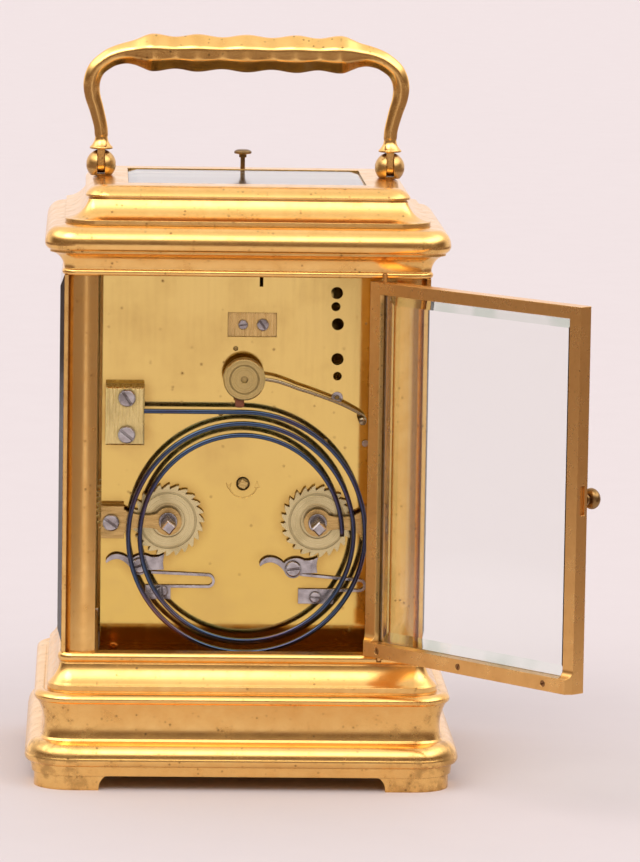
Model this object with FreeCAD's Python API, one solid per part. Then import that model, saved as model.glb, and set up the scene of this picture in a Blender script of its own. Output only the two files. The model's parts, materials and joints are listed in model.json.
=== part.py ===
"""Carriage clock: gilt brass gorge case with bevelled glasses, open back door and hour-repeating movement.

Millimetres, +Z up. The origin is the centre of the footprint on the surface the feet stand on.
-Y is the back, where the door and the winding squares are; +Y is the front, where the dial is.
"""
import FreeCAD, Part
import math
import os

V = FreeCAD.Vector

# ---------------------------------------------------------------- case: overall
PLAN_STEP = 6.84            # every moulding is this much narrower from middle to back than to the side
DATUM = 0.9                 # heights below are measured from a datum this far above the soles
FLOOR_Z = -DATUM
FOOT_HEIGHT = 3.4
FOOT_TOP = FLOOR_Z + FOOT_HEIGHT
FOOT_HALF_WIDTH = 48.0
FOOT_LENGTH = 15.0
FOOT_CURVE = 1.7            # how far a foot spreads as it meets the base
BASE_CORNER = 39.5          # half-width at which the round corners of base and cornice are centred
LID_CORNER = 35.2
RIM_CORNER = 32.0
SILL_Z = 30.16
DECK_TOP = 26.0
DECK_THICK = 2.0
DOWEL = (-29.8, -24.0)      # round-headed dowel near the deck's back corner
OPENING_HALF_X = 33.4       # opening in the sill that the movement stands in
OPENING_HALF_Y = 31.2
BASE_WALL_HALF_X = 41.0     # hollow inside the base
CORNICE_Z = 117.5
CORNICE_TOP = 129.0
CORNICE_OPEN_X = 31.0
CORNICE_OPEN_Y = 27.4
RIM_TOP = 137.63
# ---------------------------------------------------------------- pillars and glasses
PILLAR_IN = 34.2
PILLAR_OUT = 41.95
PILLAR_FACE = 34.6          # half-depth of the pillars' outer fillet
PILLAR_END = 27.0           # half-depth at which the side glass starts
SIDE_GLASS_OUT = 42.95
SIDE_GLASS_THICK = 3.4
BEVEL_WIDTH = 3.6
BEVEL_DROP = 1.2
GLASS_GAP = 0.1             # putty line round each pane
TOP_OPEN_X = 27.5
TOP_OPEN_Y = 20.9
TOP_GLASS_Z = 137.45
TOP_FLANGE = 1.8            # ledge that holds the top glass from below
TOP_FLANGE_Z0, TOP_FLANGE_Z1 = 132.2, 133.6
# ---------------------------------------------------------------- door
DOOR_HALF = 33.7
DOOR_OUTER_Y = -37.2
DOOR_THICK = 3.7
DOOR_INNER_Y = DOOR_OUTER_Y + DOOR_THICK
DOOR_Z0, DOOR_Z1 = 30.4, 116.85
DOOR_PIVOT = (31.3, -35.8)
DOOR_OPEN = 130.5           # degrees the door stands open at rest
DOOR_STILE = 3.3
DOOR_TOP_RAIL = 2.8
DOOR_BOTTOM_RAIL = 3.3
RAIL_PROUD = 1.5            # the bottom rail stands this far inwards of the stiles
FOOT_RISE, FOOT_CHAMFER = 2.0, 1.1
RAIL_NOTCH = 2.4            # the bottom rail is let into the ends of the stiles this far from their edges
DOOR_EDGE_ROUND = 1.2
DOOR_PIN_R, DOOR_PIN_LENGTH = 0.5, 1.6
PIVOT_CLEARANCE = 0.06
KNOB_Z = 73.7
# ---------------------------------------------------------------- handle
POST_X = 33.83
POST_Z = 140.17             # axis the handle swings about
BALL_R = 3.5
TONGUE_THICK = 1.7
TONGUE_R = 2.1
HANDLE_PIN_R = 0.7
GRIP_Z = 166.45
GRIP_LOBES = (0.0, 11.6, 21.8)
GRIP_WAISTS = (5.8, 16.7)
LOBE_HALF, WAIST_HALF = 4.4, 3.75
# ---------------------------------------------------------------- repeat work
BUTTON_Y = 24.4
BUTTON_HEAD_Z = 141.0
BUTTON_STEM_R = 0.55
BUTTON_TRAVEL = 2.5
LEVER_PIVOT = (-18.0, 108.0)
LEVER_Y0, LEVER_Y1 = 23.8, 24.8
# ---------------------------------------------------------------- movement frame
PLATE_HALF = 33.0
PLATE_TOP = 117.4
BACK_Y0, BACK_Y1 = -14.26, -12.06
FRONT_Y0, FRONT_Y1 = 17.0, 19.0
PLATE_PILLARS = ((-28.0, 34.0), (28.0, 34.0), (-28.0, 110.0), (28.0, 100.0))
PLATE_PILLAR_R = 2.2
CENTRE = (0.0, 66.9)
BARREL_X, BARREL_Z = 17.43, 58.4
HAND_ARBOR_R, CANNON_PIPE_R, HOUR_PIPE_R = 1.2, 1.85, 2.8
ARBOR_R = 2.1
RUNNING = 0.06              # radial clearance of a bearing
# ---------------------------------------------------------------- striking work on the back plate
GONG_CENTRE = (0.2, 55.7)
GONG_R, GONG_PITCH, GONG_TURNS = 28.9, 2.7, 2.25
GONG_WIDE, GONG_DEEP = 1.1, 1.6
GONG_Y = -20.9
BLOCK_X0, BLOCK_X1, BLOCK_Z0, BLOCK_Z1 = -32.2, -23.2, 76.7, 90.2
BLOCK_DEPTH = 7.7
HAMMER_PIVOT = (27.5, 82.5)
HAMMER_CENTRE = (-0.2, 92.3)
HAMMER_R, HAMMER_THICK = 4.88, 3.4
HAMMER_Y = -22.3
# ---------------------------------------------------------------- winding work
RATCHET_R, RATCHET_ROOT, RATCHET_TEETH = 8.5, 7.3, 24
RATCHET_Y0, RATCHET_Y1 = -16.4, -14.7
CLICK_Y0, CLICK_Y1 = -16.5, -15.35
SPRING_Y0, SPRING_Y1 = -15.25, -14.26
RIGHT_CLICK, LEFT_CLICK = (11.94, 47.28), (-23.95, 47.75)
RIGHT_SPRING, LEFT_SPRING = (17.22, 40.4), (-18.6, 41.5)    # the screws that hold the click springs
SPRING_THICK = 0.6
COCK_SCREW_X, COCK_SCREW_Z = 30.7, 58.1
CLICK_HOLE_R = 1.05
COCK_Y0, COCK_Y1 = -18.9, -17.2
WINDING_SQUARE = 2.5
SQUARE_END = -28.8
# ---------------------------------------------------------------- wheel work
GREAT_TEETH, CENTRE_PINION = 72, 12
CENTRE_TEETH, THIRD_PINION = 64, 8
THIRD_TEETH, CONTRATE_PINION = 60, 8
CONTRATE_TEETH, ESCAPE_PINION = 60, 6
ESCAPE_TEETH = 15
STRIKE_PINION, STRIKE_TEETH, FLY_PINION = 9, 60, 8
CANNON_TEETH, MINUTE_TEETH, MINUTE_PINION, HOUR_TEETH = 12, 36, 10, 40
CENTRE_MODULE, THIRD_MODULE, CONTRATE_MODULE, MOTION_MODULE = 0.48, 0.46, 0.32, 0.40
THIRD_ANGLE, CONTRATE_ANGLE, STRIKE_ANGLE, MINUTE_ANGLE = 108.0, 78.0, 85.0, 200.0
FLY = (21.7, 87.4)
DRUM_R = 13.5
# ---------------------------------------------------------------- platform escapement
PLATFORM_THICK = 1.6
ESCAPE_R = 4.2
BALANCE_R = 6.6
# ---------------------------------------------------------------- dial
DIAL_Y0, DIAL_Y1 = 26.2, 27.2
MASK_THICK = 1.0
HOUR_HAND_ANGLE, MINUTE_HAND_ANGLE = 305.0, 54.0    # clockwise from twelve: ten past nine minutes


# ================================================================ helpers
def wire(path, place):
    """Closed wire. Two numbers are the end of a line; four are an arc's middle and end."""
    ends = [item[-2:] for item in path]
    edges = []
    for i, item in enumerate(path):
        start, end = place(*ends[i - 1]), place(*ends[i])
        if len(item) == 4:
            edges.append(Part.Arc(start, place(*item[:2]), end).toShape())
        elif start.distanceToPoint(end) > 1e-7:
            edges.append(Part.LineSegment(start, end).toShape())
    return Part.Wire(edges)


def plate_xz(path, y0, y1):
    """Solid between y0 and y1 whose outline is drawn in x and z."""
    return Part.Face(wire(path, lambda x, z: V(x, y0, z))).extrude(V(0, y1 - y0, 0))


def plate_xy(path, z0, z1):
    """Solid between z0 and z1 whose outline is drawn in x and y."""
    return Part.Face(wire(path, lambda x, y: V(x, y, z0))).extrude(V(0, 0, z1 - z0))


def box(x0, x1, y0, y1, z0, z1):
    return Part.makeBox(x1 - x0, y1 - y0, z1 - z0, V(x0, y0, z0))


def rod_x(r, x0, x1, y, z):
    return Part.makeCylinder(r, x1 - x0, V(x0, y, z), V(1, 0, 0))


def rod_y(r, y0, y1, x, z):
    return Part.makeCylinder(r, y1 - y0, V(x, y0, z), V(0, 1, 0))


def rod_z(r, z0, z1, x, y):
    return Part.makeCylinder(r, z1 - z0, V(x, y, z0), V(0, 0, 1))


def union(shapes):
    first, *rest = shapes
    return first.multiFuse(rest).removeSplitter() if rest else first


def group(shapes):
    """Separate solids kept in one node."""
    return Part.makeCompound(list(shapes))


def polar(centre, r, degrees):
    a = math.radians(degrees)
    return centre[0] + r * math.cos(a), centre[1] + r * math.sin(a)


def mirrored(shape, normal):
    return shape.mirror(V(0, 0, 0), normal)


def depth(half_width):
    """Half-depth of a moulding from its half-width."""
    return half_width - PLAN_STEP


def moulding(profile, corner):
    """Rectangular moulding: profile is its edge as (half-width, z), bottom to top, swept round the plan."""
    cx, cy = corner, depth(corner)
    z0, z1 = profile[0][-1], profile[-1][-1]
    edge = [tuple(v - corner * (i % 2 == 0) for i, v in enumerate(p)) for p in profile]
    outline = [(0.0, z0)] + edge + [(0.0, z1)]
    along_x = Part.Face(wire(outline, lambda u, z: V(u, 0, z)))
    along_y = Part.Face(wire(outline, lambda u, z: V(0, u, z)))
    quarter = along_x.revolve(V(0, 0, 0), V(0, 0, 1), 90)
    quarter.translate(V(cx, cy, 0))
    side = along_x.extrude(V(0, 2 * cy, 0))
    side.translate(V(cx, -cy, 0))
    end = along_y.extrude(V(2 * cx, 0, 0))
    end.translate(V(-cx, cy, 0))
    pieces = [box(-cx, cx, -cy, cy, z0, z1), side, mirrored(side, V(1, 0, 0)), end, mirrored(end, V(0, 1, 0))]
    other = mirrored(quarter, V(1, 0, 0))
    pieces += [quarter, other, mirrored(quarter, V(0, 1, 0)), mirrored(other, V(0, 1, 0))]
    return union(pieces)


def screw(x, z, face_y, head_r, head_h, shank_r, shank_length, slot_angle):
    """Cheese-head screw with its head proud of face_y towards the back."""
    head = rod_y(head_r, face_y - head_h, face_y, x, z)
    rim = [e for e in head.Edges if e.BoundBox.YMax < face_y - head_h + 1e-6]
    head = head.makeChamfer(head_h * 0.25, rim)
    slot = box(-head_r, head_r, -0.4 * head_h, 0.4 * head_h, -0.16 * head_r, 0.16 * head_r)
    slot.rotate(V(0, 0, 0), V(0, 1, 0), slot_angle)
    slot.translate(V(x, face_y - head_h, z))
    shank = rod_y(shank_r, face_y, face_y + shank_length, x, z)
    return union([head, shank]).cut(slot)


def gear_outline(centre, teeth, module, phase, pitch_share=0.38):
    """Corner points of a wheel or pinion: trimmed teeth, thinner than their gaps for backlash."""
    pitch_r = teeth * module / 2
    tip_r, root_r = pitch_r + 0.8 * module, pitch_r - 1.1 * module
    pitch = 360.0 / teeth
    tip_half, root_half = 0.22 * pitch_share * pitch, 0.72 * pitch_share * pitch
    points = []
    for k in range(teeth):
        middle = phase + k * pitch
        for r, offset in ((root_r, -root_half), (tip_r, -tip_half), (tip_r, tip_half), (root_r, root_half)):
            points.append(polar(centre, r, middle + offset))
    return points


def gear(centre, teeth, module, phase, y0, y1):
    return plate_xz(gear_outline(centre, teeth, module, phase), y0, y1)


def mesh_phase(teeth, phase, other_teeth, direction):
    """Phase of a second wheel, in the given direction, whose gap meets the first one's tooth."""
    pitch, other_pitch = 360.0 / teeth, 360.0 / other_teeth
    ahead = (direction - phase) % pitch
    return direction + 180.0 + ahead * teeth / other_teeth - other_pitch / 2


def crossings(centre, r_in, r_out, spokes, spoke_width, y0, y1, turn=0.0):
    """Windows that leave a crossed-out wheel its spokes."""
    ring = rod_y(r_out, y0 - 1, y1 + 1, *centre).cut(rod_y(r_in, y0 - 2, y1 + 2, *centre))
    bars = []
    for k in range(spokes):
        bar = box(0, r_out + 1, y0 - 2, y1 + 2, -spoke_width / 2, spoke_width / 2)
        bar.rotate(V(0, 0, 0), V(0, 1, 0), turn + 360.0 * k / spokes)
        bar.translate(V(centre[0], 0, centre[1]))
        bars.append(bar)
    return ring.cut(bars)


def bevelled_pane(w, h, thick, bevel, drop):
    """Pane centred on the origin, standing in x and z, polished bevel on its -y face."""
    def rim(inset, y):
        a, b = w / 2 - inset, h / 2 - inset
        return Part.makePolygon([V(-a, y, -b), V(a, y, -b), V(a, y, b), V(-a, y, b), V(-a, y, -b)])
    slab = box(-w / 2, w / 2, -thick + drop, 0, -h / 2, h / 2)
    crown = Part.makeLoft([rim(0, -thick + drop), rim(bevel, -thick)], True, True)
    return slab.fuse(crown).removeSplitter()


# ================================================================ wheel positions and phases
BARREL_LEFT, BARREL_RIGHT = (-BARREL_X, BARREL_Z), (BARREL_X, BARREL_Z)
GREAT_MODULE = 2 * math.hypot(BARREL_X, CENTRE[1] - BARREL_Z) / (GREAT_TEETH + CENTRE_PINION)
THIRD = polar(CENTRE, CENTRE_MODULE * (CENTRE_TEETH + THIRD_PINION) / 2, THIRD_ANGLE)
CONTRATE = polar(THIRD, THIRD_MODULE * (THIRD_TEETH + CONTRATE_PINION) / 2, CONTRATE_ANGLE)
STRIKE = polar(BARREL_RIGHT, GREAT_MODULE * (GREAT_TEETH + STRIKE_PINION) / 2, STRIKE_ANGLE)
FLY_MODULE = 2 * math.hypot(FLY[0] - STRIKE[0], FLY[1] - STRIKE[1]) / (STRIKE_TEETH + FLY_PINION)
MINUTE = polar(CENTRE, MOTION_MODULE * (CANNON_TEETH + MINUTE_TEETH) / 2, MINUTE_ANGLE)
HOUR_MODULE = MOTION_MODULE * (CANNON_TEETH + MINUTE_TEETH) / (MINUTE_PINION + HOUR_TEETH)
CONTRATE_R = CONTRATE_MODULE * CONTRATE_TEETH / 2
PITCH_PLANE_Y = 0.3         # where the contrate wheel's teeth meet the escape pinion
ESCAPE = (CONTRATE[0], PITCH_PLANE_Y - ESCAPE_PINION * CONTRATE_MODULE / 2)
PALLET = (ESCAPE[0] + 6.3, ESCAPE[1] + 1.5)
BALANCE = (ESCAPE[0] + 14.6, ESCAPE[1] + 3.5)

GREAT_PHASE = 0.0
CENTRE_DIRECTION = math.degrees(math.atan2(CENTRE[1] - BARREL_Z, BARREL_X))
CENTRE_PINION_PHASE = mesh_phase(GREAT_TEETH, GREAT_PHASE, CENTRE_PINION, CENTRE_DIRECTION)
THIRD_PINION_PHASE = mesh_phase(CENTRE_TEETH, 0.0, THIRD_PINION, THIRD_ANGLE)
CONTRATE_PINION_PHASE = mesh_phase(THIRD_TEETH, 0.0, CONTRATE_PINION, CONTRATE_ANGLE)
STRIKE_PINION_PHASE = mesh_phase(GREAT_TEETH, GREAT_PHASE, STRIKE_PINION, STRIKE_ANGLE)
FLY_DIRECTION = math.degrees(math.atan2(FLY[1] - STRIKE[1], FLY[0] - STRIKE[0]))
FLY_PINION_PHASE = mesh_phase(STRIKE_TEETH, 0.0, FLY_PINION, FLY_DIRECTION)
MINUTE_PHASE = mesh_phase(CANNON_TEETH, 0.0, MINUTE_TEETH, MINUTE_ANGLE)
HOUR_PHASE = mesh_phase(MINUTE_PINION, 0.0, HOUR_TEETH, MINUTE_ANGLE + 180.0)


# ================================================================ case
def base_plinth():
    """Four block feet joined by the thin plate that closes the bottom of the base."""
    block = moulding([(FOOT_HALF_WIDTH, FLOOR_Z), (FOOT_HALF_WIDTH, FOOT_TOP)], BASE_CORNER)
    far = 60.0
    for half in (FOOT_HALF_WIDTH, depth(FOOT_HALF_WIDTH)):
        low, high = half - FOOT_LENGTH, half - FOOT_LENGTH - FOOT_CURVE
        toe, bend, under = FLOOR_Z + 0.6, FLOOR_Z + 0.7 * FOOT_HEIGHT, FLOOR_Z - 1.0
        arch = [(-low, under), (-low, toe), (-low + 0.35 * FOOT_CURVE, bend, -high, FOOT_TOP),
                (high, FOOT_TOP), (low - 0.35 * FOOT_CURVE, bend, low, toe), (low, under)]
        cutter = plate_xz(arch, -far, far)
        if half != FOOT_HALF_WIDTH:
            cutter.rotate(V(0, 0, 0), V(0, 0, 1), 90)
        block = block.cut(cutter)
    floor = box(-BASE_WALL_HALF_X, BASE_WALL_HALF_X, -depth(BASE_WALL_HALF_X), depth(BASE_WALL_HALF_X),
                FOOT_TOP, FOOT_TOP + 1.4)
    return union([block, floor])


def base_moulding():
    """Cushion, scotia, torus, cavetto and bead of the gorge base, hollow inside."""
    profile = [(48.5, FOOT_TOP), (48.8, 4.75), (49.4, 4.85), (49.95, 5.4, 50.0, 6.8),
               (49.3, 8.8, 46.6, 10.2), (46.25, 10.7), (45.9, 14.9, 47.35, 19.1),
               (47.6, 19.2), (48.04, 19.8, 48.0, 20.35), (47.3, 21.15, 45.6, 21.3),
               (45.05, 21.35), (45.05, 22.9), (44.85, 23.1), (44.6, 23.4), (43.09, 25.33, 42.35, 27.7),
               (42.15, 27.75), (42.15, 27.95), (42.75, 29.0, 42.2, SILL_Z)]
    shape = moulding(profile, BASE_CORNER)
    wall_y = depth(BASE_WALL_HALF_X)
    shelf = DECK_TOP - DECK_THICK
    hollow = box(-BASE_WALL_HALF_X, BASE_WALL_HALF_X, -wall_y, wall_y, FOOT_TOP, 20.0)
    throat = box(-OPENING_HALF_X, OPENING_HALF_X, -OPENING_HALF_Y, OPENING_HALF_Y, shelf, SILL_Z)
    window_x, window_y = OPENING_HALF_X - 2, OPENING_HALF_Y - 2
    window = box(-window_x, window_x, -window_y, window_y, 20.0, shelf)
    socket = rod_z(DOOR_PIN_R + PIVOT_CLEARANCE, SILL_Z - DOOR_PIN_LENGTH, SILL_Z + 1, *DOOR_PIVOT)
    return shape.cut([hollow, throat, window, socket])


def deck_plate():
    """Floor the movement stands on, sunk below the sill, with a round-headed dowel at its back corner."""
    half_x, half_y = OPENING_HALF_X, OPENING_HALF_Y
    slab = box(-half_x, half_x, -half_y, half_y, DECK_TOP - DECK_THICK, DECK_TOP)
    head = Part.makeSphere(1.3, V(*DOWEL, DECK_TOP + 0.1))
    return union([slab, head])


def cornice_moulding():
    """Bead, cove, fillet and the broad round of the cornice."""
    profile = [(42.0, CORNICE_Z), (42.5, 118.2, 42.06, 118.95), (42.85, 121.3, 45.0, 122.75),
               (45.35, 122.8), (45.35, 123.3), (46.3, 124.1, 46.48, 125.4),
               (45.75, 127.4, 44.1, 128.6), (41.6, CORNICE_TOP)]
    shape = moulding(profile, BASE_CORNER)
    opening = box(-CORNICE_OPEN_X, CORNICE_OPEN_X, -CORNICE_OPEN_Y, CORNICE_OPEN_Y, CORNICE_Z, CORNICE_TOP)
    socket = rod_z(DOOR_PIN_R + PIVOT_CLEARANCE, CORNICE_Z - 1, CORNICE_Z + DOOR_PIN_LENGTH, *DOOR_PIVOT)
    return shape.cut(opening).cut(socket)


def lid_moulding():
    """Cavetto lid with its thumb-moulded rim round the top glass."""
    cavetto = [(41.94, CORNICE_TOP), (41.94, 130.1), (38.35, 131.7, 36.65, 134.5)]
    rim = [(36.65, 134.5), (36.65, 134.85), (37.3, 134.95), (37.4, 135.4), (36.4, 136.58, 33.6, RIM_TOP)]
    shape = union([moulding(cavetto, LID_CORNER), moulding(rim, RIM_CORNER)])
    under_x, under_y = TOP_OPEN_X + TOP_FLANGE, TOP_OPEN_Y + TOP_FLANGE
    shape = shape.cut(box(-TOP_OPEN_X, TOP_OPEN_X, -TOP_OPEN_Y, TOP_OPEN_Y, CORNICE_TOP, RIM_TOP))
    shape = shape.cut(box(-under_x, under_x, -under_y, under_y, CORNICE_TOP, TOP_FLANGE_Z1))
    shape = shape.cut(rod_z(BUTTON_STEM_R + RUNNING, CORNICE_TOP, RIM_TOP, 0, BUTTON_Y))
    return shape.cut([rod_z(1.0, RIM_TOP - 5, RIM_TOP, side * POST_X, 0) for side in (-1, 1)])


def pillar(side_x, side_y):
    """Corner pillar: a fillet at the corner and a broad soft round on each outer face."""
    f1, d1 = PILLAR_OUT - 0.95, PILLAR_FACE - 2.2
    path = [(PILLAR_IN, PILLAR_END), (PILLAR_IN, PILLAR_FACE - 0.7),
            (36.9, PILLAR_FACE + 0.05, f1, PILLAR_FACE - 1.5), (f1, PILLAR_FACE),
            (PILLAR_OUT, PILLAR_FACE), (PILLAR_OUT, d1), (PILLAR_OUT - 0.5, d1),
            (PILLAR_OUT - 0.05, (d1 + PILLAR_END) / 2, PILLAR_OUT - 0.6, PILLAR_END)]
    path = [tuple(v * (side_x if i % 2 == 0 else side_y) for i, v in enumerate(p)) for p in path]
    return plate_xy(path, SILL_Z, CORNICE_Z)


def side_glass(side):
    """Thick bevelled pane let in between two pillars, its face standing proud of them."""
    pane = bevelled_pane(2 * (PILLAR_END - GLASS_GAP), CORNICE_Z - SILL_Z - 2 * GLASS_GAP,
                         SIDE_GLASS_THICK, BEVEL_WIDTH, BEVEL_DROP)
    pane.rotate(V(0, 0, 0), V(0, 0, 1), 90 * side)
    pane.translate(V(side * (SIDE_GLASS_OUT - SIDE_GLASS_THICK), 0, (CORNICE_Z + SILL_Z) / 2))
    return pane


def front_glass():
    """Bevelled pane in front of the dial."""
    w, h = 2 * (PILLAR_IN - GLASS_GAP), CORNICE_Z - SILL_Z - 2 * GLASS_GAP
    pane = bevelled_pane(w, h, 2.8, BEVEL_WIDTH, 1.0)
    pane.rotate(V(0, 0, 0), V(0, 0, 1), 180)
    pane.translate(V(0, 32.4, (CORNICE_Z + SILL_Z) / 2))
    return pane


def top_glass():
    """Bevelled pane over the escapement, held by a flange below the lid's ledge."""
    w, d = 2 * (TOP_OPEN_X - GLASS_GAP), 2 * (TOP_OPEN_Y - GLASS_GAP)
    pane = bevelled_pane(w, d, TOP_GLASS_Z - TOP_FLANGE_Z1, 2.0, 0.3)
    pane.rotate(V(0, 0, 0), V(1, 0, 0), -90)
    pane.translate(V(0, 0, TOP_FLANGE_Z1))
    fx, fy = w / 2 + TOP_FLANGE, d / 2 + TOP_FLANGE
    return pane.fuse(box(-fx, fx, -fy, fy, TOP_FLANGE_Z0, TOP_FLANGE_Z1)).removeSplitter()


# ================================================================ door, drawn closed and then swung open
def swung(shape):
    """Carries a piece of the closed door to where it stands open."""
    moved = shape.copy()
    moved.rotate(V(*DOOR_PIVOT, 0), V(0, 0, 1), DOOR_OPEN)
    return moved


def door_blank(z0, z1):
    """Door cross-section between two heights, its hinge edge rounded about the pivot."""
    y0, y1 = DOOR_OUTER_Y, DOOR_INNER_Y
    edge = DOOR_EDGE_ROUND
    path = [(-DOOR_HALF, y0 + 0.4), (-DOOR_HALF + 0.4, y0), (DOOR_HALF - edge, y0),
            (DOOR_HALF - 0.3 * edge, y0 + 0.3 * edge, DOOR_HALF, y0 + edge),
            (DOOR_HALF, y1), (-DOOR_HALF, y1)]
    return plate_xy(path, z0, z1)


def door_window(inset):
    """Space inside the stiles and rails, larger or smaller by inset."""
    return (-DOOR_HALF + DOOR_STILE - inset, DOOR_HALF - DOOR_STILE + inset,
            DOOR_Z0 + DOOR_BOTTOM_RAIL - inset, DOOR_Z1 - DOOR_TOP_RAIL + inset)


GLASS_REBATE = 1.2          # how far the pane reaches into the frame
DOOR_GLASS_Y0, DOOR_GLASS_Y1 = DOOR_OUTER_Y + 0.8, DOOR_INNER_Y - 1.3


def stile_foot(side):
    """Thickened end of a stile, chamfered at the door's edge and coved where it meets the thin stile."""
    y1, top = DOOR_INNER_Y + RAIL_PROUD, DOOR_Z0 + DOOR_BOTTOM_RAIL + FOOT_RISE
    x_in, x_out = side * (DOOR_HALF - DOOR_STILE), side * DOOR_HALF
    path = [(x_in, DOOR_INNER_Y - 0.2), (x_out, DOOR_INNER_Y - 0.2), (x_out, DOOR_INNER_Y),
            (x_out - side * FOOT_CHAMFER, y1), (x_in, y1)]
    cove = rod_x(FOOT_RISE, -DOOR_HALF - 1, DOOR_HALF + 1, DOOR_INNER_Y + FOOT_RISE, top)
    return plate_xy(path, DOOR_Z0, top).cut(cove)


def door_frame():
    """Two stiles and the top rail, rebated for the pane, with the two pivot pins."""
    z_rail = DOOR_Z0 + DOOR_BOTTOM_RAIL
    shape = door_blank(DOOR_Z0, DOOR_Z1)
    x0, x1, _, z1 = door_window(0)
    shape = shape.cut(box(x0, x1, -40, -30, DOOR_Z0, z1))
    shape = union([shape, stile_foot(-1), stile_foot(1)])
    x0, x1, _, z1 = door_window(GLASS_REBATE)
    shape = shape.cut(box(x0, x1, DOOR_GLASS_Y0, DOOR_GLASS_Y1, z_rail - GLASS_REBATE, z1))
    shape = shape.cut(box(-DOOR_HALF + RAIL_NOTCH, DOOR_HALF - RAIL_NOTCH, -40, -30, DOOR_Z0 - 1, z_rail))
    keeper = box(-DOOR_HALF - 1, -DOOR_HALF + 0.7, DOOR_OUTER_Y + 1.2, DOOR_OUTER_Y + 2.6,
                 KNOB_Z - 3.3, KNOB_Z + 3.3)
    knob_hole = rod_y(KNOB_SHANK_R, -40, DOOR_OUTER_Y + KNOB_SHANK, KNOB_X, KNOB_Z)
    pins = [rod_z(DOOR_PIN_R, DOOR_Z0 - 1.5, DOOR_Z0, *DOOR_PIVOT),
            rod_z(DOOR_PIN_R, DOOR_Z1, DOOR_Z1 + 1.75, *DOOR_PIVOT)]
    return swung(union([shape.cut([keeper, knob_hole])] + pins))


def door_rail():
    """Separate bottom rail, let in between the stiles and holding the pane with three screws."""
    z1 = DOOR_Z0 + DOOR_BOTTOM_RAIL
    y1 = DOOR_INNER_Y + RAIL_PROUD
    bar = box(-DOOR_HALF + RAIL_NOTCH, DOOR_HALF - RAIL_NOTCH, DOOR_OUTER_Y, y1, DOOR_Z0, z1)
    bar = bar.cut(box(-DOOR_HALF, DOOR_HALF, DOOR_GLASS_Y0, DOOR_GLASS_Y1, z1 - GLASS_REBATE, z1))
    return swung(bar.cut([rod_y(0.75, y1 - 1.4, y1, x, DOOR_SCREW_Z) for x in DOOR_SCREWS]))


DOOR_SCREWS = (-25.7, 1.4, 28.1)
DOOR_SCREW_Z = DOOR_Z0 + 1.6


def door_screws():
    """Countersunk slotted screws in the inner face of the bottom rail."""
    inner = DOOR_INNER_Y + RAIL_PROUD
    screws = []
    for x, angle in zip(DOOR_SCREWS, (20, 65, 110)):
        head = rod_y(0.75, inner - 1.4, inner - 0.05, x, DOOR_SCREW_Z)
        slot = box(-1, 1, -0.3, 0.3, -0.13, 0.13)
        slot.rotate(V(0, 0, 0), V(0, 1, 0), angle)
        slot.translate(V(x, inner - 0.05, DOOR_SCREW_Z))
        screws.append(head.cut(slot))
    return swung(group(screws))


def door_glass():
    x0, x1, z0, z1 = door_window(GLASS_REBATE)
    thick = DOOR_GLASS_Y1 - DOOR_GLASS_Y0
    pane = bevelled_pane(x1 - x0, z1 - z0, thick, 3.6, 0.9)
    pane.translate(V((x0 + x1) / 2, DOOR_GLASS_Y1, (z0 + z1) / 2))
    return swung(pane)


KNOB_X = -DOOR_HALF + 1.45
KNOB_SHANK, KNOB_SHANK_R = 2.6, 0.6


def door_knob():
    """Small turned pull on the outer face, its shank fixed in the stile."""
    face, shank = DOOR_OUTER_Y, KNOB_SHANK_R
    profile = [(0, face + KNOB_SHANK), (shank, face + KNOB_SHANK), (shank, face), (1.4, face),
               (1.4, face - 0.5),
               (0.75, face - 0.9), (0.75, face - 1.3), (2.0, face - 1.55, 2.4, face - 2.5),
               (1.9, face - 3.4, 0.8, face - 3.8), (0, face - 3.8)]
    knob = Part.Face(wire(profile, lambda r, y: V(r, y, 0))).revolve(V(0, 0, 0), V(0, 1, 0), 360)
    knob.translate(V(KNOB_X, 0, KNOB_Z))
    return swung(knob)


# ================================================================ handle
def tongue_space(half_thick, r):
    """Disc and blade about the swing axis at x = 0."""
    disc = rod_x(r, -half_thick, half_thick, 0, POST_Z)
    blade = box(-half_thick, half_thick, -r, r, POST_Z, POST_Z + BALL_R + 1)
    return disc, blade


def handle_posts():
    """Two split balls standing on the rim; the handle's tongues turn in their slots."""
    posts = []
    for side in (-1, 1):
        ball = Part.makeSphere(BALL_R, V(0, 0, POST_Z))
        ball = ball.common(box(-5, 5, -5, 5, RIM_TOP, POST_Z + 5))
        base = rod_z(2.5, RIM_TOP, RIM_TOP + 0.38, 0, 0)
        stem = rod_z(1.0, RIM_TOP - 5, RIM_TOP, 0, 0)
        half = TONGUE_THICK / 2 + RUNNING
        slot = box(-half, half, -5, 5, RIM_TOP + 0.38, POST_Z + 5)
        post = union([ball, base, stem]).cut(slot).cut(rod_x(HANDLE_PIN_R, -4, 4, 0, POST_Z))
        post.translate(V(side * POST_X, 0, 0))
        posts.append(post)
    return group(posts)


def handle_pins():
    half = 2.95
    return group(rod_x(HANDLE_PIN_R, x - half, x + half, 0, POST_Z) for x in (-POST_X, POST_X))


def octagon(x, half, flat=0.44):
    """Upright eight-sided section of the grip at x."""
    c = flat * half
    corners = [(half, -c), (half, c), (c, half), (-c, half), (-half, c), (-half, -c), (-c, -half), (c, -half)]
    return Part.makePolygon([V(x, y, GRIP_Z + z) for y, z in corners + corners[:1]])


def grip_half(x):
    """Half-thickness of the grip at x: it swells at the lobes and draws in at the waists."""
    knots = sorted([(x, LOBE_HALF) for x in GRIP_LOBES] + [(x, WAIST_HALF) for x in GRIP_WAISTS])
    for (x0, h0), (x1, h1) in zip(knots, knots[1:]):
        if x <= x1:
            return h0 + (h1 - h0) * (1 - math.cos(math.pi * (x - x0) / (x1 - x0))) / 2
    return LOBE_HALF - 0.16 * (x - GRIP_LOBES[-1]) ** 2


def round_section(centre, along, r):
    return Part.Wire(Part.makeCircle(r, centre, along))


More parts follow.
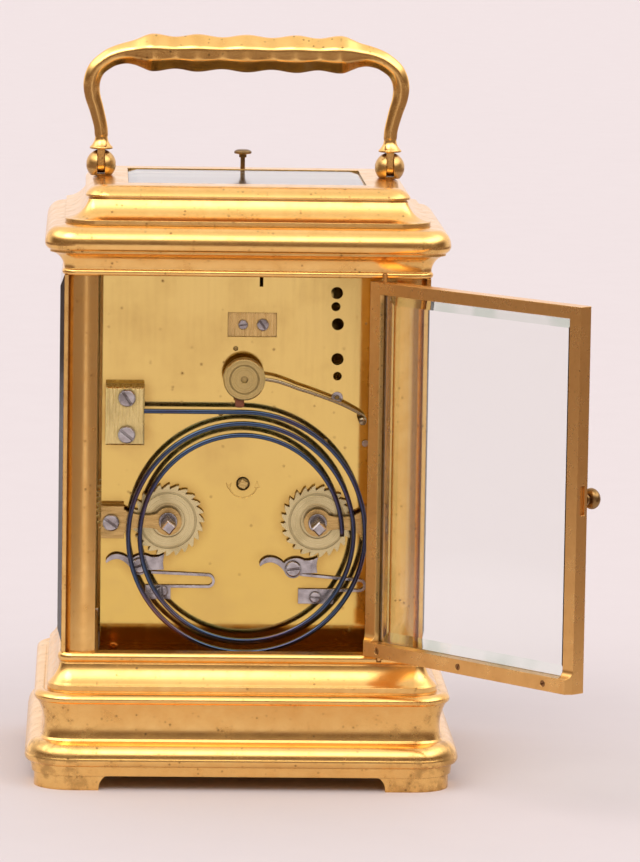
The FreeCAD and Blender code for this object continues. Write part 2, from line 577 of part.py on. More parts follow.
def handle_arm():
    """Swan-neck arm from the collar up and over to the grip, on the right."""
    stations = [(33.83, 145.0, 1.6), (34.05, 149.2, 1.55), (35.0, 153.0, 1.65), (36.0, 156.4, 1.85),
                (36.15, 159.6, 1.98), (34.95, 162.6, 2.05), (32.3, 164.9, 2.2), (29.0, 166.1, 2.45),
                (26.9, 166.4, 2.55), (24.6, 166.45, 1.9)]
    sections = []
    for i, (x, z, r) in enumerate(stations):
        before, after = stations[max(i - 1, 0)], stations[min(i + 1, len(stations) - 1)]
        along = V(after[0] - before[0], 0, after[1] - before[1])
        if i == 0:
            along = V(0, 0, 1)
        sections.append(round_section(V(x, 0, z), along, r))
    return Part.makeLoft(sections, True, False)


def handle():
    """Bail handle: lobed eight-sided grip, two swan necks, collars and flat tongues."""
    stations = [(0.5 * k, grip_half(0.5 * k)) for k in range(48)] + [(24.4, 3.35), (27.2, 1.7)]
    stations = [(-x, h) for x, h in reversed(stations[1:])] + stations
    grip = Part.makeLoft([octagon(x, h) for x, h in stations], True, True)
    arm = handle_arm()
    disc, blade = tongue_space(TONGUE_THICK / 2, TONGUE_R)
    blade = blade.common(box(-2, 2, -TONGUE_R, TONGUE_R, POST_Z, POST_Z + 3.9))
    foot = union([disc, blade, rod_z(2.95, POST_Z + 3.65, POST_Z + 5.1, 0, 0),
                  Part.makeCone(2.95, 2.0, 0.8, V(0, 0, POST_Z + 5.1))])
    foot = foot.cut(rod_x(HANDLE_PIN_R + RUNNING, -4, 4, 0, POST_Z))
    foot.translate(V(POST_X, 0, 0))
    right = union([foot, arm])
    return union([grip, right, mirrored(right, V(1, 0, 0))])


# ================================================================ repeat work
def repeat_button():
    """Mushroom-headed push-piece through the front of the lid."""
    z = BUTTON_HEAD_Z
    profile = [(0, 128.6), (BUTTON_STEM_R, 128.6), (BUTTON_STEM_R, z - 0.8), (0.9, z - 0.8), (0.9, z - 0.1),
               (1.95, z + 0.1), (2.1, z + 0.45, 1.85, z + 0.8), (1.3, z + 1.05, 0.6, z + 1.1), (0, z + 1.1)]
    body = Part.Face(wire(profile, lambda r, h: V(r, 0, h))).revolve(V(0, 0, 0), V(0, 0, 1), 360)
    body.translate(V(0, BUTTON_Y, 0))
    return body


def repeat_lever():
    """Steel lever the push-piece presses down, turning on a stud in front of the front plate."""
    px, pz = LEVER_PIVOT
    path = [(px - 2.0, pz), (px, pz - 2.0, px + 1.7, pz - 1.0), (0.2, pz + 6.0), (1.0, pz + 7.6),
            (1.0, pz + 18.8), (2.6, pz + 19.6), (2.6, pz + 20.4), (-2.6, pz + 20.4), (-2.6, pz + 19.6),
            (-0.8, pz + 18.8), (-0.8, pz + 8.4), (px + 1.2, pz + 1.6), (px, pz + 2.0, px - 2.0, pz)]
    return plate_xz(path, LEVER_Y0, LEVER_Y1).cut(rod_y(0.8 + RUNNING, LEVER_Y0 - 1, LEVER_Y1 + 1, px, pz))


# ================================================================ movement frame
PIVOT_HOLES = ((21.3, 111.9, 1.4), (21.1, 108.7, 1.05), (21.6, 104.6, 1.4), (21.65, 96.4, 1.4),
               (21.7, 92.4, 1.0))
STUD_BLOCK = (-4.0, 7.4, 101.4, 107.1)
STUD_POCKET = 1.3
BUSH_R, BUSH_DEPTH = 1.3, 0.6
ARROW_R, ARROW_GROOVE, ARROW_DEPTH = 3.3, 0.26, 0.12    # engraved arrow by the setting hole


def plate_blank(y0, y1):
    return box(-PLATE_HALF, PLATE_HALF, y0, y1, DECK_TOP, PLATE_TOP)


def bearing(centre, r, y0, y1):
    return rod_y(r + RUNNING, y0 - 1, y1 + 1, *centre)


def setting_arrow():
    """Curved arrow under the setting hole: a shaft, a head at its right end and a feather at its left."""
    y0, y1 = BACK_Y0 - 1, BACK_Y0 + ARROW_DEPTH
    ring = rod_y(ARROW_R + ARROW_GROOVE / 2, y0, y1, *CENTRE)
    ring = ring.cut(rod_y(ARROW_R - ARROW_GROOVE / 2, y0 - 1, y1 + 1, *CENTRE))
    x, z = CENTRE
    shaft = ring.common(box(x - 5, x + 5, y0, y1, z - 5, z - 0.6))
    tip = plate_xz([(x + 2.7, z - 0.9), (x + 3.3, z + 0.7), (x + 3.9, z - 0.9)], y0, y1)
    feather = plate_xz([(x - 3.9, z + 0.2), (x - 3.3, z - 0.5), (x - 2.7, z + 0.2), (x - 2.8, z - 0.5),
                        (x - 3.3, z - 1.3), (x - 3.8, z - 0.5)], y0, y1)
    return union([shaft, tip, feather])


def back_plate():
    """Polished back plate with its bearing holes, top slot and stud pocket."""
    y0, y1 = BACK_Y0, BACK_Y1
    holes = [rod_y(r, y0 - 1, y1 + 1, x, z) for x, z, r in PIVOT_HOLES]
    holes.append(rod_y(1.6, y0 - 1, y1 + 1, *CENTRE))
    holes += [bearing(b, ARBOR_R, y0, y1) for b in (BARREL_LEFT, BARREL_RIGHT)]
    holes += [bearing(p, 0.5, y0, y1) for p in (THIRD, CONTRATE, STRIKE)]
    holes += [bearing(FLY, 0.5, y0, y1), bearing(HAMMER_PIVOT, 0.8, y0, y1)]
    holes.append(box(3.3, 4.1, y0 - 1, y1 + 1, 113.2, PLATE_TOP + 1))
    x0, x1, z0, z1 = STUD_BLOCK
    holes.append(box(x0, x1, y0 - 1, y0 + STUD_POCKET, z0, z1))
    holes += [rod_y(r, y0 - 1, y0 + length, x, z) for x, z, _, r, length in SCREW_HOLES]
    holes += [rod_y(BUSH_R, y0 - 1, y0 + BUSH_DEPTH, *FLY), setting_arrow()]
    return plate_blank(y0, y1).cut(holes)


def front_plate():
    y0, y1 = FRONT_Y0, FRONT_Y1
    holes = [bearing(b, 1.5, y0, y1) for b in (BARREL_LEFT, BARREL_RIGHT)]
    holes += [bearing(p, 0.5, y0, y1) for p in (THIRD, CONTRATE, STRIKE, FLY)]
    holes.append(bearing(CENTRE, HAND_ARBOR_R, y0, y1))
    holes += [rod_y(PLATE_PILLAR_R * 0.6, y0 - 1, y1 + 1, x, z) for x, z in PLATE_PILLARS]
    studs = [rod_y(0.8, y1, LEVER_Y1 + 0.6, *LEVER_PIVOT), rod_y(1.6, y1, LEVER_Y0 - 0.1, *LEVER_PIVOT),
             rod_y(0.7, y1, 24.0, *MINUTE)]
    return union([plate_blank(y0, y1).cut(holes)] + studs)


def plate_pillars():
    """Four turned pillars that hold the plates apart, their front ends through the front plate."""
    pillars = []
    r = PLATE_PILLAR_R
    collar_r, end_r = r + 0.9, 0.6 * r
    for at in PLATE_PILLARS:
        collars = [rod_y(collar_r, y, y + 1.2, *at) for y in (BACK_Y1, FRONT_Y0 - 1.2)]
        end = rod_y(end_r, FRONT_Y0, FRONT_Y1 + 1.6, *at)
        pillars.append(union([rod_y(r, BACK_Y1, FRONT_Y0, *at), end] + collars))
    return group(pillars)


# every screw on the back plate: x, z, head radius, shank radius, shank length, face under it, slot angle
SCREWS = (
    (-27.3, 87.75, 2.0, 1.1, 9.2, BACK_Y0 - BLOCK_DEPTH, 56),
    (-27.3, 79.2, 2.0, 1.1, 9.2, BACK_Y0 - BLOCK_DEPTH, 38),
    (-0.45, 104.2, 1.1, 0.6, 1.9, BACK_Y0 + 0.35, -8),
    (4.15, 104.2, 1.35, 0.6, 1.9, BACK_Y0 + 0.35, 55),
    (-COCK_SCREW_X, COCK_SCREW_Z, 1.9, 1.0, 6.1, COCK_Y0, 36),
    (COCK_SCREW_X, COCK_SCREW_Z, 1.9, 1.0, 6.1, COCK_Y0, 50),
    (*RIGHT_CLICK, 1.8, 1.0, 3.8, CLICK_Y0 - 0.05, -8),
    (*LEFT_CLICK, 1.8, 1.0, 3.8, CLICK_Y0 - 0.05, -20),
    (*RIGHT_SPRING, 1.3, 0.6, 2.5, SPRING_Y0, 5),
    (*LEFT_SPRING, 1.3, 0.6, 2.5, SPRING_Y0, 85))
SCREW_HOLES = tuple((x, z, face, r, face + length - BACK_Y0) for x, z, _, r, length, face, _ in SCREWS)
SMALL_PINS = ((28.4, 76.7, 0.75, BACK_Y0), (-20.9, 41.5, 0.5, SPRING_Y0))     # x, z, radius, face


def plate_screws():
    """All slotted steel screws seen on the back plate, two steel pins and the bush round the fly's pivot."""
    pieces = [screw(x, z, face, head, 0.55 * head, shank, length, angle)
              for x, z, head, shank, length, face, angle in SCREWS]
    pins = [rod_y(r, face - 0.8, face, x, z) for x, z, r, face in SMALL_PINS]
    bush = rod_y(BUSH_R, BACK_Y0 - 0.12, BACK_Y0 + BUSH_DEPTH, *FLY)
    return group(pieces + pins + [bush.cut(bearing(FLY, 0.5, BACK_Y0, BACK_Y1))])


def stud_block():
    x0, x1, z0, z1 = STUD_BLOCK
    block = box(x0, x1, BACK_Y0 + 0.35, BACK_Y0 + STUD_POCKET, z0, z1)
    return block.cut([rod_y(r, -20, 0, x, z) for x, z, _, r, _ in SCREW_HOLES[2:4]])


# ================================================================ striking work
def gong_block():
    block = box(BLOCK_X0, BLOCK_X1, BACK_Y0 - BLOCK_DEPTH, BACK_Y0, BLOCK_Z0, BLOCK_Z1)
    top = [e for e in block.Edges if e.BoundBox.YMax < BACK_Y0 - BLOCK_DEPTH + 1e-6]
    block = block.makeChamfer(0.35, top)
    socket = box(BLOCK_X1 - 3, BLOCK_X1 + 1, GONG_Y - GONG_DEEP / 2, GONG_Y + GONG_DEEP / 2,
                 GONG_EXIT_Z - GONG_WIDE / 2, GONG_EXIT_Z + GONG_WIDE / 2)
    return block.cut([socket] + [rod_y(r, -30, 0, x, z) for x, z, _, r, _ in SCREW_HOLES[:2]])


GONG_EXIT_Z = GONG_CENTRE[1] + GONG_R


def gong_coil():
    """Flat blued strip: a straight run out of the block, then two and a quarter turns inwards."""
    def edge(offset):
        points = []
        for k in range(int(GONG_TURNS * 16) + 1):
            turn = k / 16
            x, z = polar(GONG_CENTRE, GONG_R - GONG_PITCH * turn + offset, 90 - 360 * turn)
            points.append(V(x, 0, z))
        curve = Part.BSplineCurve()
        curve.interpolate(points)
        return curve.toShape(), points[0], points[-1]
    half = GONG_WIDE / 2
    outer, outer_start, outer_end = edge(half)
    inner, inner_start, inner_end = edge(-half)
    x0 = BLOCK_X1 - 3
    top, bottom = V(x0, 0, GONG_EXIT_Z + half), V(x0, 0, GONG_EXIT_Z - half)
    corners = [(top, outer_start), (outer_end, inner_end), (inner_start, bottom), (bottom, top)]
    edges = [outer, inner] + [Part.LineSegment(a, b).toShape() for a, b in corners]
    strip = Part.Face(Part.Wire(Part.__sortEdges__(edges))).extrude(V(0, GONG_DEEP, 0))
    strip.translate(V(0, GONG_Y - GONG_DEEP / 2, 0))
    return strip


def hammer_head():
    """Brass disc with a stepped face, bored for the arm."""
    x, z = HAMMER_CENTRE
    y0, y1 = HAMMER_Y, HAMMER_Y + HAMMER_THICK
    disc = rod_y(HAMMER_R, y0, y1, x, z)
    disc = disc.makeChamfer(0.3, [e for e in disc.Edges if e.BoundBox.YMax < y0 + 1e-6])
    step = rod_y(3.5, y0 - 1, y0 + 0.35, x, z).cut(rod_y(3.1, y0 - 2, y0 + 1, x, z))
    pad_slot = box(x - 1.1 - 1.0, x + 1.1 - 1.0, y0 + 0.8, y1 - 0.8, 80, z - HAMMER_R + 0.9)
    arm_hole = plate_xz(HAMMER_ARM_PATH, ARM_Y0, ARM_Y1)
    return disc.cut([step, rod_y(0.85, y0 - 1, y0 + 1.2, x, z), pad_slot, arm_hole])


ARM_Y0, ARM_Y1 = -21.1, -20.1
HAMMER_ARM_PATH = [(1.0, 92.75), (1.0, 91.75), (6.0, 91.9), (12.5, 91.2, 18.5, 88.6),
                   (22.5, 86.2, 26.6, 83.2), (27.4, 84.2), (23.0, 87.3, 19.0, 89.6), (12.8, 92.2, 6.0, 92.9)]


def hammer_arm():
    """Curved steel arm and the arbor it is carried on."""
    arm = plate_xz(HAMMER_ARM_PATH, ARM_Y0, ARM_Y1)
    boss = rod_y(1.5, ARM_Y0 - 0.5, ARM_Y1 + 0.5, *HAMMER_PIVOT)
    arbor = rod_y(0.8, ARM_Y0 - 0.9, BACK_Y1 + 0.8, *HAMMER_PIVOT)
    return union([arm, boss, arbor])


def hammer_pad():
    """Leather pad that meets the gong."""
    x, z = HAMMER_CENTRE
    path = [(x - 2.1, z - HAMMER_R + 0.9), (x + 0.1, z - HAMMER_R + 0.9), (x + 0.1, z - 6.2),
            (x - 1.0, z - 6.7, x - 2.1, z - 6.2)]
    return plate_xz(path, HAMMER_Y + 0.8, HAMMER_Y + HAMMER_THICK - 0.8)


# ================================================================ winding work
def ratchet(centre, face_angle):
    """Ratchet wheel whose steep faces look clockwise from behind, turned groove on its face."""
    pitch = 360.0 / RATCHET_TEETH
    points = []
    for k in range(RATCHET_TEETH):
        start = face_angle + k * pitch
        points += [polar(centre, RATCHET_R, start), polar(centre, RATCHET_R - 0.25, start + 0.3 * pitch),
                   polar(centre, RATCHET_ROOT, start + 0.98 * pitch)]
    wheel = plate_xz(points, RATCHET_Y0, RATCHET_Y1)
    groove = rod_y(6.7, RATCHET_Y0 - 1, RATCHET_Y0 + 0.3, *centre).cut(rod_y(6.2, RATCHET_Y0 - 2, 0, *centre))
    recess = rod_y(4.0, RATCHET_Y0 - 1, RATCHET_Y0 + 0.4, *centre)
    return wheel.cut([groove, recess, rod_y(ARBOR_R, RATCHET_Y0 - 2, RATCHET_Y1 + 2, *centre)])


def winding_arbor(centre, turn):
    """Barrel arbor with its squared end for the key."""
    body = rod_y(ARBOR_R, COCK_Y0 - 0.1, FRONT_Y0 - 1, *centre)
    pivot = rod_y(1.5, FRONT_Y0 - 1, FRONT_Y1 + 0.3, *centre)
    half = WINDING_SQUARE / 2
    square = box(-half, half, SQUARE_END, COCK_Y0, -half, half)
    square = square.makeChamfer(0.3, [e for e in square.Edges if e.BoundBox.YMax < SQUARE_END + 1e-6])
    square.rotate(V(0, 0, 0), V(0, 1, 0), turn)
    square.translate(V(centre[0], 0, centre[1]))
    return union([body, pivot, square])


def ratchet_cocks():
    """Two bridges over the ratchet wheels: a ring round the arbor, a waisted strap and a screwed foot."""
    ring_r, foot_z0, foot_z1 = 3.2, 54.4, 61.9
    cocks = []
    for side in (-1, 1):
        x, z = side * BARREL_X, BARREL_Z
        half = [(1.0, 2.6), (3.0, 1.7, 5.4, 1.45), (8.2, 1.8, 10.6, 3.0)]
        strap = [(1.0, -2.6)] + half + [(10.6, -3.0), (8.2, -1.8, 5.4, -1.45), (3.0, -1.7, 1.0, -2.6)]
        strap = [tuple(x + side * v if i % 2 == 0 else z + v for i, v in enumerate(p)) for p in strap]
        foot_x0, foot_x1 = sorted((side * 27.7, side * 33.0))
        foot = box(foot_x0, foot_x1, COCK_Y0, BACK_Y0, foot_z0, foot_z1)
        cock = union([rod_y(ring_r, COCK_Y0, COCK_Y1, x, z), plate_xz(strap, COCK_Y0, COCK_Y1), foot])
        bore = rod_y(ARBOR_R + RUNNING, COCK_Y0 - 1, COCK_Y1 + 1, x, z)
        screw_hole = rod_y(1.0, COCK_Y0 - 1, BACK_Y0 + 1, side * COCK_SCREW_X, COCK_SCREW_Z)
        cocks.append(cock.cut([bore, screw_hole]))
    return group(cocks)


def click(pivot):
    """Ratchet click: hollow-sided wedge nose to the right, round boss, and an S-curved finger tail."""
    outline = [(0.0, -2.3, 1.3, -1.8), (1.9, -1.15), (5.7, -1.0), (5.5, 0.8, 5.85, 2.7),
               (4.4, 2.05, 2.6, 1.95), (0.0, 2.35, -1.8, 1.5), (-2.1, 1.15), (-3.4, 2.1, -5.0, 2.55),
               (-6.7, 2.25, -7.9, 0.9), (-7.7, 0.4), (-6.3, 1.25, -4.9, 1.4), (-3.5, 0.75, -1.93, -0.99)]
    path = [tuple(v + pivot[i % 2] for i, v in enumerate(p)) for p in outline]
    return plate_xz(path, CLICK_Y0, CLICK_Y1).cut(rod_y(CLICK_HOLE_R, -20, -10, *pivot))


def click_spring(foot, screw_at, low, bend, high_start):
    """Steel hairpin: a screwed foot, a lower leg, a round bend and an upper leg under the click's nose.

    foot is its corners (x0, x1, z0), low the height of the lower leg, bend the centre line's x and top.
    """
    x0, x1, z0 = foot
    bend_x, high = bend
    t, r, mid = SPRING_THICK / 2, (high - low) / 2, (high + low) / 2
    end_x, end_z = high_start
    path = [(x0, z0), (x1, z0), (x1, low - t), (bend_x, low - t), (bend_x + r + t, mid, bend_x, high + t),
            (end_x, end_z + t), (end_x, end_z - t), (bend_x, high - t),
            (bend_x + r - t, mid, bend_x, low + t), (x0, low + t)]
    return plate_xz(path, SPRING_Y0, SPRING_Y1).cut(rod_y(0.6, -20, -10, *screw_at))


def click_springs():
    left = click_spring((-22.5, -16.6, 39.6), LEFT_SPRING, 42.6, (-7.95, 45.35), (-21.2, 45.9))
    right = click_spring((13.25, 21.5, 38.8), RIGHT_SPRING, 41.95, (27.6, 44.4), (13.6, 45.65))
    return group([left, right])


# ================================================================ wheel work
def drum(centre, y0, y1, wheel_y0, wheel_y1):
    """Spring barrel and its great wheel in one piece, turning on the winding arbor."""
    body = rod_y(DRUM_R, y0, y1, *centre)
    lip = rod_y(DRUM_R - 1.0, y0 - 1, y0 + 0.4, *centre).cut(rod_y(3.4, y0 - 2, y0 + 1, *centre))
    wheel = gear(centre, GREAT_TEETH, GREAT_MODULE, GREAT_PHASE, wheel_y0, wheel_y1)
    return union([body.cut(lip), wheel]).cut(rod_y(ARBOR_R + RUNNING, -15, 20, *centre))


def wheel_on_arbor(centre, teeth, module, wheel_y, pinion, pinion_module, pinion_phase, pinion_y,
                   arbor_r, ends):
    """Crossed-out wheel, its pinion and their common arbor with fine end pivots."""
    r = teeth * module / 2
    wheel = gear(centre, teeth, module, 0.0, *wheel_y)
    wheel = wheel.cut(crossings(centre, 0.3 * r, r - 2.6 * module, 4, 0.14 * r, *wheel_y, turn=20))
    leaves = gear(centre, pinion, pinion_module, pinion_phase, *pinion_y)
    arbor = rod_y(arbor_r, BACK_Y1 + 0.3, FRONT_Y0 - 0.3, *centre)
    return union([wheel, leaves, arbor, rod_y(0.5, *ends, *centre)])


PIVOT_ENDS = (BACK_Y0 + 0.3, FRONT_Y1 - 0.2)


def centre_wheel():
    """Centre wheel and pinion on a pipe, friction-tight on the hand arbor that runs through it."""
    wheel = wheel_on_arbor(CENTRE, CENTRE_TEETH, CENTRE_MODULE, (11.6, 12.8), CENTRE_PINION, GREAT_MODULE,
                           CENTRE_PINION_PHASE, (7.6, 10.4), 1.8, (0.0, 1.0))
    return wheel.cut(rod_y(HAND_ARBOR_R + RUNNING, -20, 40, *CENTRE))


def third_wheel():
    return wheel_on_arbor(THIRD, THIRD_TEETH, THIRD_MODULE, (4.0, 5.2), THIRD_PINION, CENTRE_MODULE,
                          THIRD_PINION_PHASE, (11.2, 13.2), 0.9, PIVOT_ENDS)


def contrate_wheel():
    """Wheel with its teeth at right angles, so that it drives the upright escape arbor."""
    r = CONTRATE_R
    disc_y0, disc_y1 = 1.5, 2.4
    tip_y = PITCH_PLANE_Y - 0.25
    rim_out, rim_in = r + 0.5, r - 0.5
    ring = rod_y(rim_out, disc_y0 - 0.35, disc_y1, *CONTRATE).cut(rod_y(rim_in, -5, disc_y0, *CONTRATE))
    disc = rod_y(rim_out, disc_y0, disc_y1, *CONTRATE)
    disc = disc.cut(crossings(CONTRATE, 0.3 * r, r - 1.6, 4, 1.3, disc_y0, disc_y1, turn=35))
    pitch = 2 * math.pi * r / CONTRATE_TEETH
    root_half, tip_half = 0.24 * pitch, 0.09 * pitch
    tooth = Part.Face(wire([(-root_half, disc_y0 - 0.2), (-tip_half, tip_y), (tip_half, tip_y),
                            (root_half, disc_y0 - 0.2)], lambda x, y: V(x, y, rim_in + 0.15)))
    tooth = tooth.extrude(V(0, 0, rim_out - rim_in - 0.35))
    teeth = []
    for k in range(CONTRATE_TEETH):
        one = tooth.copy()
        one.rotate(V(0, 0, 0), V(0, 1, 0), 360.0 * k / CONTRATE_TEETH)
        one.translate(V(CONTRATE[0], 0, CONTRATE[1]))
        teeth.append(one)
    leaves = gear(CONTRATE, CONTRATE_PINION, THIRD_MODULE, CONTRATE_PINION_PHASE, 3.4, 5.8)
    arbor = rod_y(0.9, BACK_Y1 + 0.3, FRONT_Y0 - 0.3, *CONTRATE)
    return union([ring, disc, leaves, arbor, rod_y(0.5, *PIVOT_ENDS, *CONTRATE)] + teeth)


def strike_wheel():
    return wheel_on_arbor(STRIKE, STRIKE_TEETH, FLY_MODULE, (14.0, 15.0), STRIKE_PINION, GREAT_MODULE,
                          STRIKE_PINION_PHASE, (-10.2, -7.4), 0.9, PIVOT_ENDS)


def fly():
    """Two-bladed air brake of the striking train with its pinion."""
    leaves = gear(FLY, FLY_PINION, FLY_MODULE, FLY_PINION_PHASE, 13.4, 15.6)
    arbor = rod_y(0.8, BACK_Y1 + 0.3, FRONT_Y0 - 0.3, *FLY)
    vane = box(-6.0, 6.0, -9.0, 9.5, -0.25, 0.25)
    vane.rotate(V(0, 0, 0), V(0, 1, 0), -35)
    vane.translate(V(FLY[0], 0, FLY[1]))
    return union([leaves, arbor, vane, rod_y(0.5, *PIVOT_ENDS, *FLY)])


# ================================================================ platform escapement
PLATFORM_X0, PLATFORM_X1 = -16.0, 24.0


def platform_plate():
    """Plate across the tops of the movement plates that carries the escapement."""
    z0, z1 = PLATE_TOP, PLATE_TOP + PLATFORM_THICK
    slab = box(PLATFORM_X0, PLATFORM_X1, BACK_Y0, FRONT_Y1, z0, z1)
    slab = slab.makeChamfer(1.6, [e for e in slab.Edges if abs(e.tangentAt(e.FirstParameter).z) > 0.9])
    holes = [rod_z(1.4, z0 - 1, z1 + 1, *ESCAPE)]
    holes += [rod_z(0.4 + RUNNING, z0 - 1, z1 + 1, *p) for p in (PALLET, BALANCE)]
    columns, rows = (PLATFORM_X0 + 3, PLATFORM_X1 - 3), (BACK_Y0 + 1.1, FRONT_Y1 - 1.1)
    screws = [screw_top(x, y, z1) for x in columns for y in rows]
    return union([slab.cut(holes)] + screws)


def screw_top(x, y, z):
    head = rod_z(1.2, z, z + 0.7, x, y)
    return head.cut(box(x - 2, x + 2, y - 0.17, y + 0.17, z + 0.4, z + 1))


def escape_wheel():
    """Fifteen-tooth escape wheel on its upright arbor, the pinion hanging below the platform."""
    x, y = ESCAPE
    z0 = PLATE_TOP + PLATFORM_THICK + 1.4
    pitch = 360.0 / ESCAPE_TEETH
    points = []
    for k in range(ESCAPE_TEETH):
        start = k * pitch
        for below, share in ((0.0, 0.0), (0.15, 0.16), (1.0, 0.2), (1.0, 0.85)):
            points.append(polar(ESCAPE, ESCAPE_R - below, start + share * pitch))
    wheel = plate_xy(points, z0, z0 + 0.5)
    windows = rod_z(2.5, z0 - 1, z0 + 2, x, y).cut(rod_z(1.1, z0 - 2, z0 + 3, x, y))
    windows = windows.cut([box(x - 4, x + 4, y - 0.3, y + 0.3, z0 - 2, z0 + 3),
                           box(x - 0.3, x + 0.3, y - 4, y + 4, z0 - 2, z0 + 3)])
    pinion_z0 = CONTRATE[1] + CONTRATE_R - 1.0
    phase = 90.0 + 180.0 / ESCAPE_PINION
    outline = gear_outline(ESCAPE, ESCAPE_PINION, CONTRATE_MODULE, phase, pitch_share=0.3)
    leaves = plate_xy(outline, pinion_z0, pinion_z0 + 2.0)
    arbor = rod_z(0.4, pinion_z0 - 0.8, z0 + 2.2, x, y)
    return union([wheel.cut(windows), leaves, arbor])


def pallet_lever():
    """Anchor and lever: two pallets just outside the escape wheel, fork towards the balance."""
    z0 = PLATE_TOP + PLATFORM_THICK + 1.4
    px, py = PALLET
    toward = math.degrees(math.atan2(BALANCE[1] - py, BALANCE[0] - px))
    length = math.hypot(BALANCE[0] - px, BALANCE[1] - py)
    bar = box(0, length - 1.5, -0.35, 0.35, z0, z0 + 0.5)
    fork = box(length - 2.4, length - 0.9, -0.95, 0.95, z0, z0 + 0.5)
    fork = fork.cut(box(length - 1.9, length, -0.4, 0.4, z0 - 1, z0 + 1))
    arms = box(-0.4, 0.4, -3.6, 3.6, z0, z0 + 0.5)
    pallets = [box(-3.2, 0.4, s * 3.6 - 0.4, s * 3.6 + 0.4, z0, z0 + 0.5) for s in (-1, 1)]
    shape = union([bar, fork, arms, rod_z(0.9, z0, z0 + 0.5, 0, 0)] + pallets)
    shape.rotate(V(0, 0, 0), V(0, 0, 1), toward)
    shape.translate(V(px, py, 0))
    arbor = rod_z(0.4, PLATE_TOP + 0.2, z0 + 1.2, px, py)
    return union([shape, arbor])


def balance_wheel():
    """Two-armed rim with screws, its staff and the flat spiral hairspring above it."""
    x, y = BALANCE
    z0 = PLATE_TOP + PLATFORM_THICK + 3.2
    rim = rod_z(BALANCE_R, z0, z0 + 0.9, x, y).cut(rod_z(BALANCE_R - 0.9, z0 - 1, z0 + 2, x, y))
    arms = box(x - BALANCE_R + 0.4, x + BALANCE_R - 0.4, y - 0.5, y + 0.5, z0, z0 + 0.5)
    staff = rod_z(0.4, PLATE_TOP + 0.2, z0 + 3.4, x, y)
    roller = rod_z(1.0, z0 - 1.1, z0 - 0.6, x, y)
    hub = rod_z(0.9, z0, z0 + 1.9, x, y)
    screws = []
    for k in range(10):
        angle = 18 + 36 * k
        sx, sy = polar(BALANCE, BALANCE_R - 0.1, angle)
        a = math.radians(angle)
        screws.append(Part.makeCylinder(0.3, 0.6, V(sx, sy, z0 + 0.45), V(math.cos(a), math.sin(a), 0)))
    turns, start_r, end_r = 6, 0.85, 3.4
    def edge(offset):
        points = []
        for k in range(turns * 12 + 1):
            t = k / (turns * 12)
            px, py = polar(BALANCE, start_r + (end_r - start_r) * t + offset, 360 * turns * t)
            points.append(V(px, py, z0 + 1.4))
        curve = Part.BSplineCurve()
        curve.interpolate(points)
        return curve.toShape(), points[0], points[-1]
    outer, o0, o1 = edge(0.06)
    inner, i0, i1 = edge(-0.06)
    ends = [Part.LineSegment(o0, i0).toShape(), Part.LineSegment(o1, i1).toShape()]
    spring = Part.Face(Part.Wire(Part.__sortEdges__([outer, inner] + ends))).extrude(V(0, 0, 0.3))
    return union([rim, arms, staff, roller, hub, spring] + screws)


def balance_cock():
    """Cock over the balance with its foot on the platform."""
    x, y = BALANCE
    top = PLATE_TOP + PLATFORM_THICK
    z0 = top + 6.0
    head = rod_z(2.6, z0, z0 + 1.2, x, y)
    strap = box(x - 2.0, x + 2.0, y, y + 11.0, z0, z0 + 1.2)
    foot = box(x - 2.6, x + 2.6, y + 7.6, y + 11.6, top, z0 + 1.2)
    shape = union([head, strap, foot])
    return shape.cut(rod_z(0.4 + RUNNING, z0 - 1, z0 + 3, x, y))


# ================================================================ motion work, dial and hands
def cannon_pinion():
    """Hand arbor with its setting square behind, and the cannon pinion and pipe in front."""
    arbor = rod_y(HAND_ARBOR_R, BACK_Y0 + 0.2, 30.6, *CENTRE)
    square = box(-0.85, 0.85, BACK_Y0 - 1.2, BACK_Y0 + 0.2, -0.85, 0.85)
    square.rotate(V(0, 0, 0), V(0, 1, 0), 30)
    square.translate(V(CENTRE[0], 0, CENTRE[1]))
    leaves = gear(CENTRE, CANNON_TEETH, MOTION_MODULE, 0.0, 19.5, 21.3)
    return union([arbor, square, leaves, rod_y(CANNON_PIPE_R, 19.5, 29.4, *CENTRE)])


def minute_wheel():
    wheel = gear(MINUTE, MINUTE_TEETH, MOTION_MODULE, MINUTE_PHASE, 19.7, 20.9)
    leaves = gear(MINUTE, MINUTE_PINION, HOUR_MODULE, 0.0, 20.9, 23.1)
    return union([wheel, leaves]).cut(rod_y(0.7 + RUNNING, 15, 30, *MINUTE))


def hour_wheel():
    wheel = gear(CENTRE, HOUR_TEETH, HOUR_MODULE, HOUR_PHASE, 21.7, 22.8)
    pipe = rod_y(HOUR_PIPE_R, 22.8, 28.8, *CENTRE)
    return union([wheel, pipe]).cut(rod_y(CANNON_PIPE_R + RUNNING, 15, 35, *CENTRE))


def rounded_rectangle(half_x, z0, z1, r):
    k = r * (1 - math.sqrt(0.5))
    return [(-half_x + r, z0), (half_x - r, z0), (half_x - k, z0 + k, half_x, z0 + r), (half_x, z1 - r),
            (half_x - k, z1 - k, half_x - r, z1), (-half_x + r, z1), (-half_x + k, z1 - k, -half_x, z1 - r),
            (-half_x, z0 + r), (-half_x + k, z0 + k, -half_x + r, z0)]


def dial_plate():
    """Enamelled plate on four feet, bored for the hour pipe."""
    plate = plate_xz(rounded_rectangle(30.0, 32.0, 115.5, 2.0), DIAL_Y0, DIAL_Y1)
    feet = [rod_y(1.1, FRONT_Y1, DIAL_Y0, x, z) for x, z in ((-26, 40), (26, 40), (-26, 104), (26, 104))]
    return union([plate] + feet).cut(rod_y(3.4, 20, 30, *CENTRE))


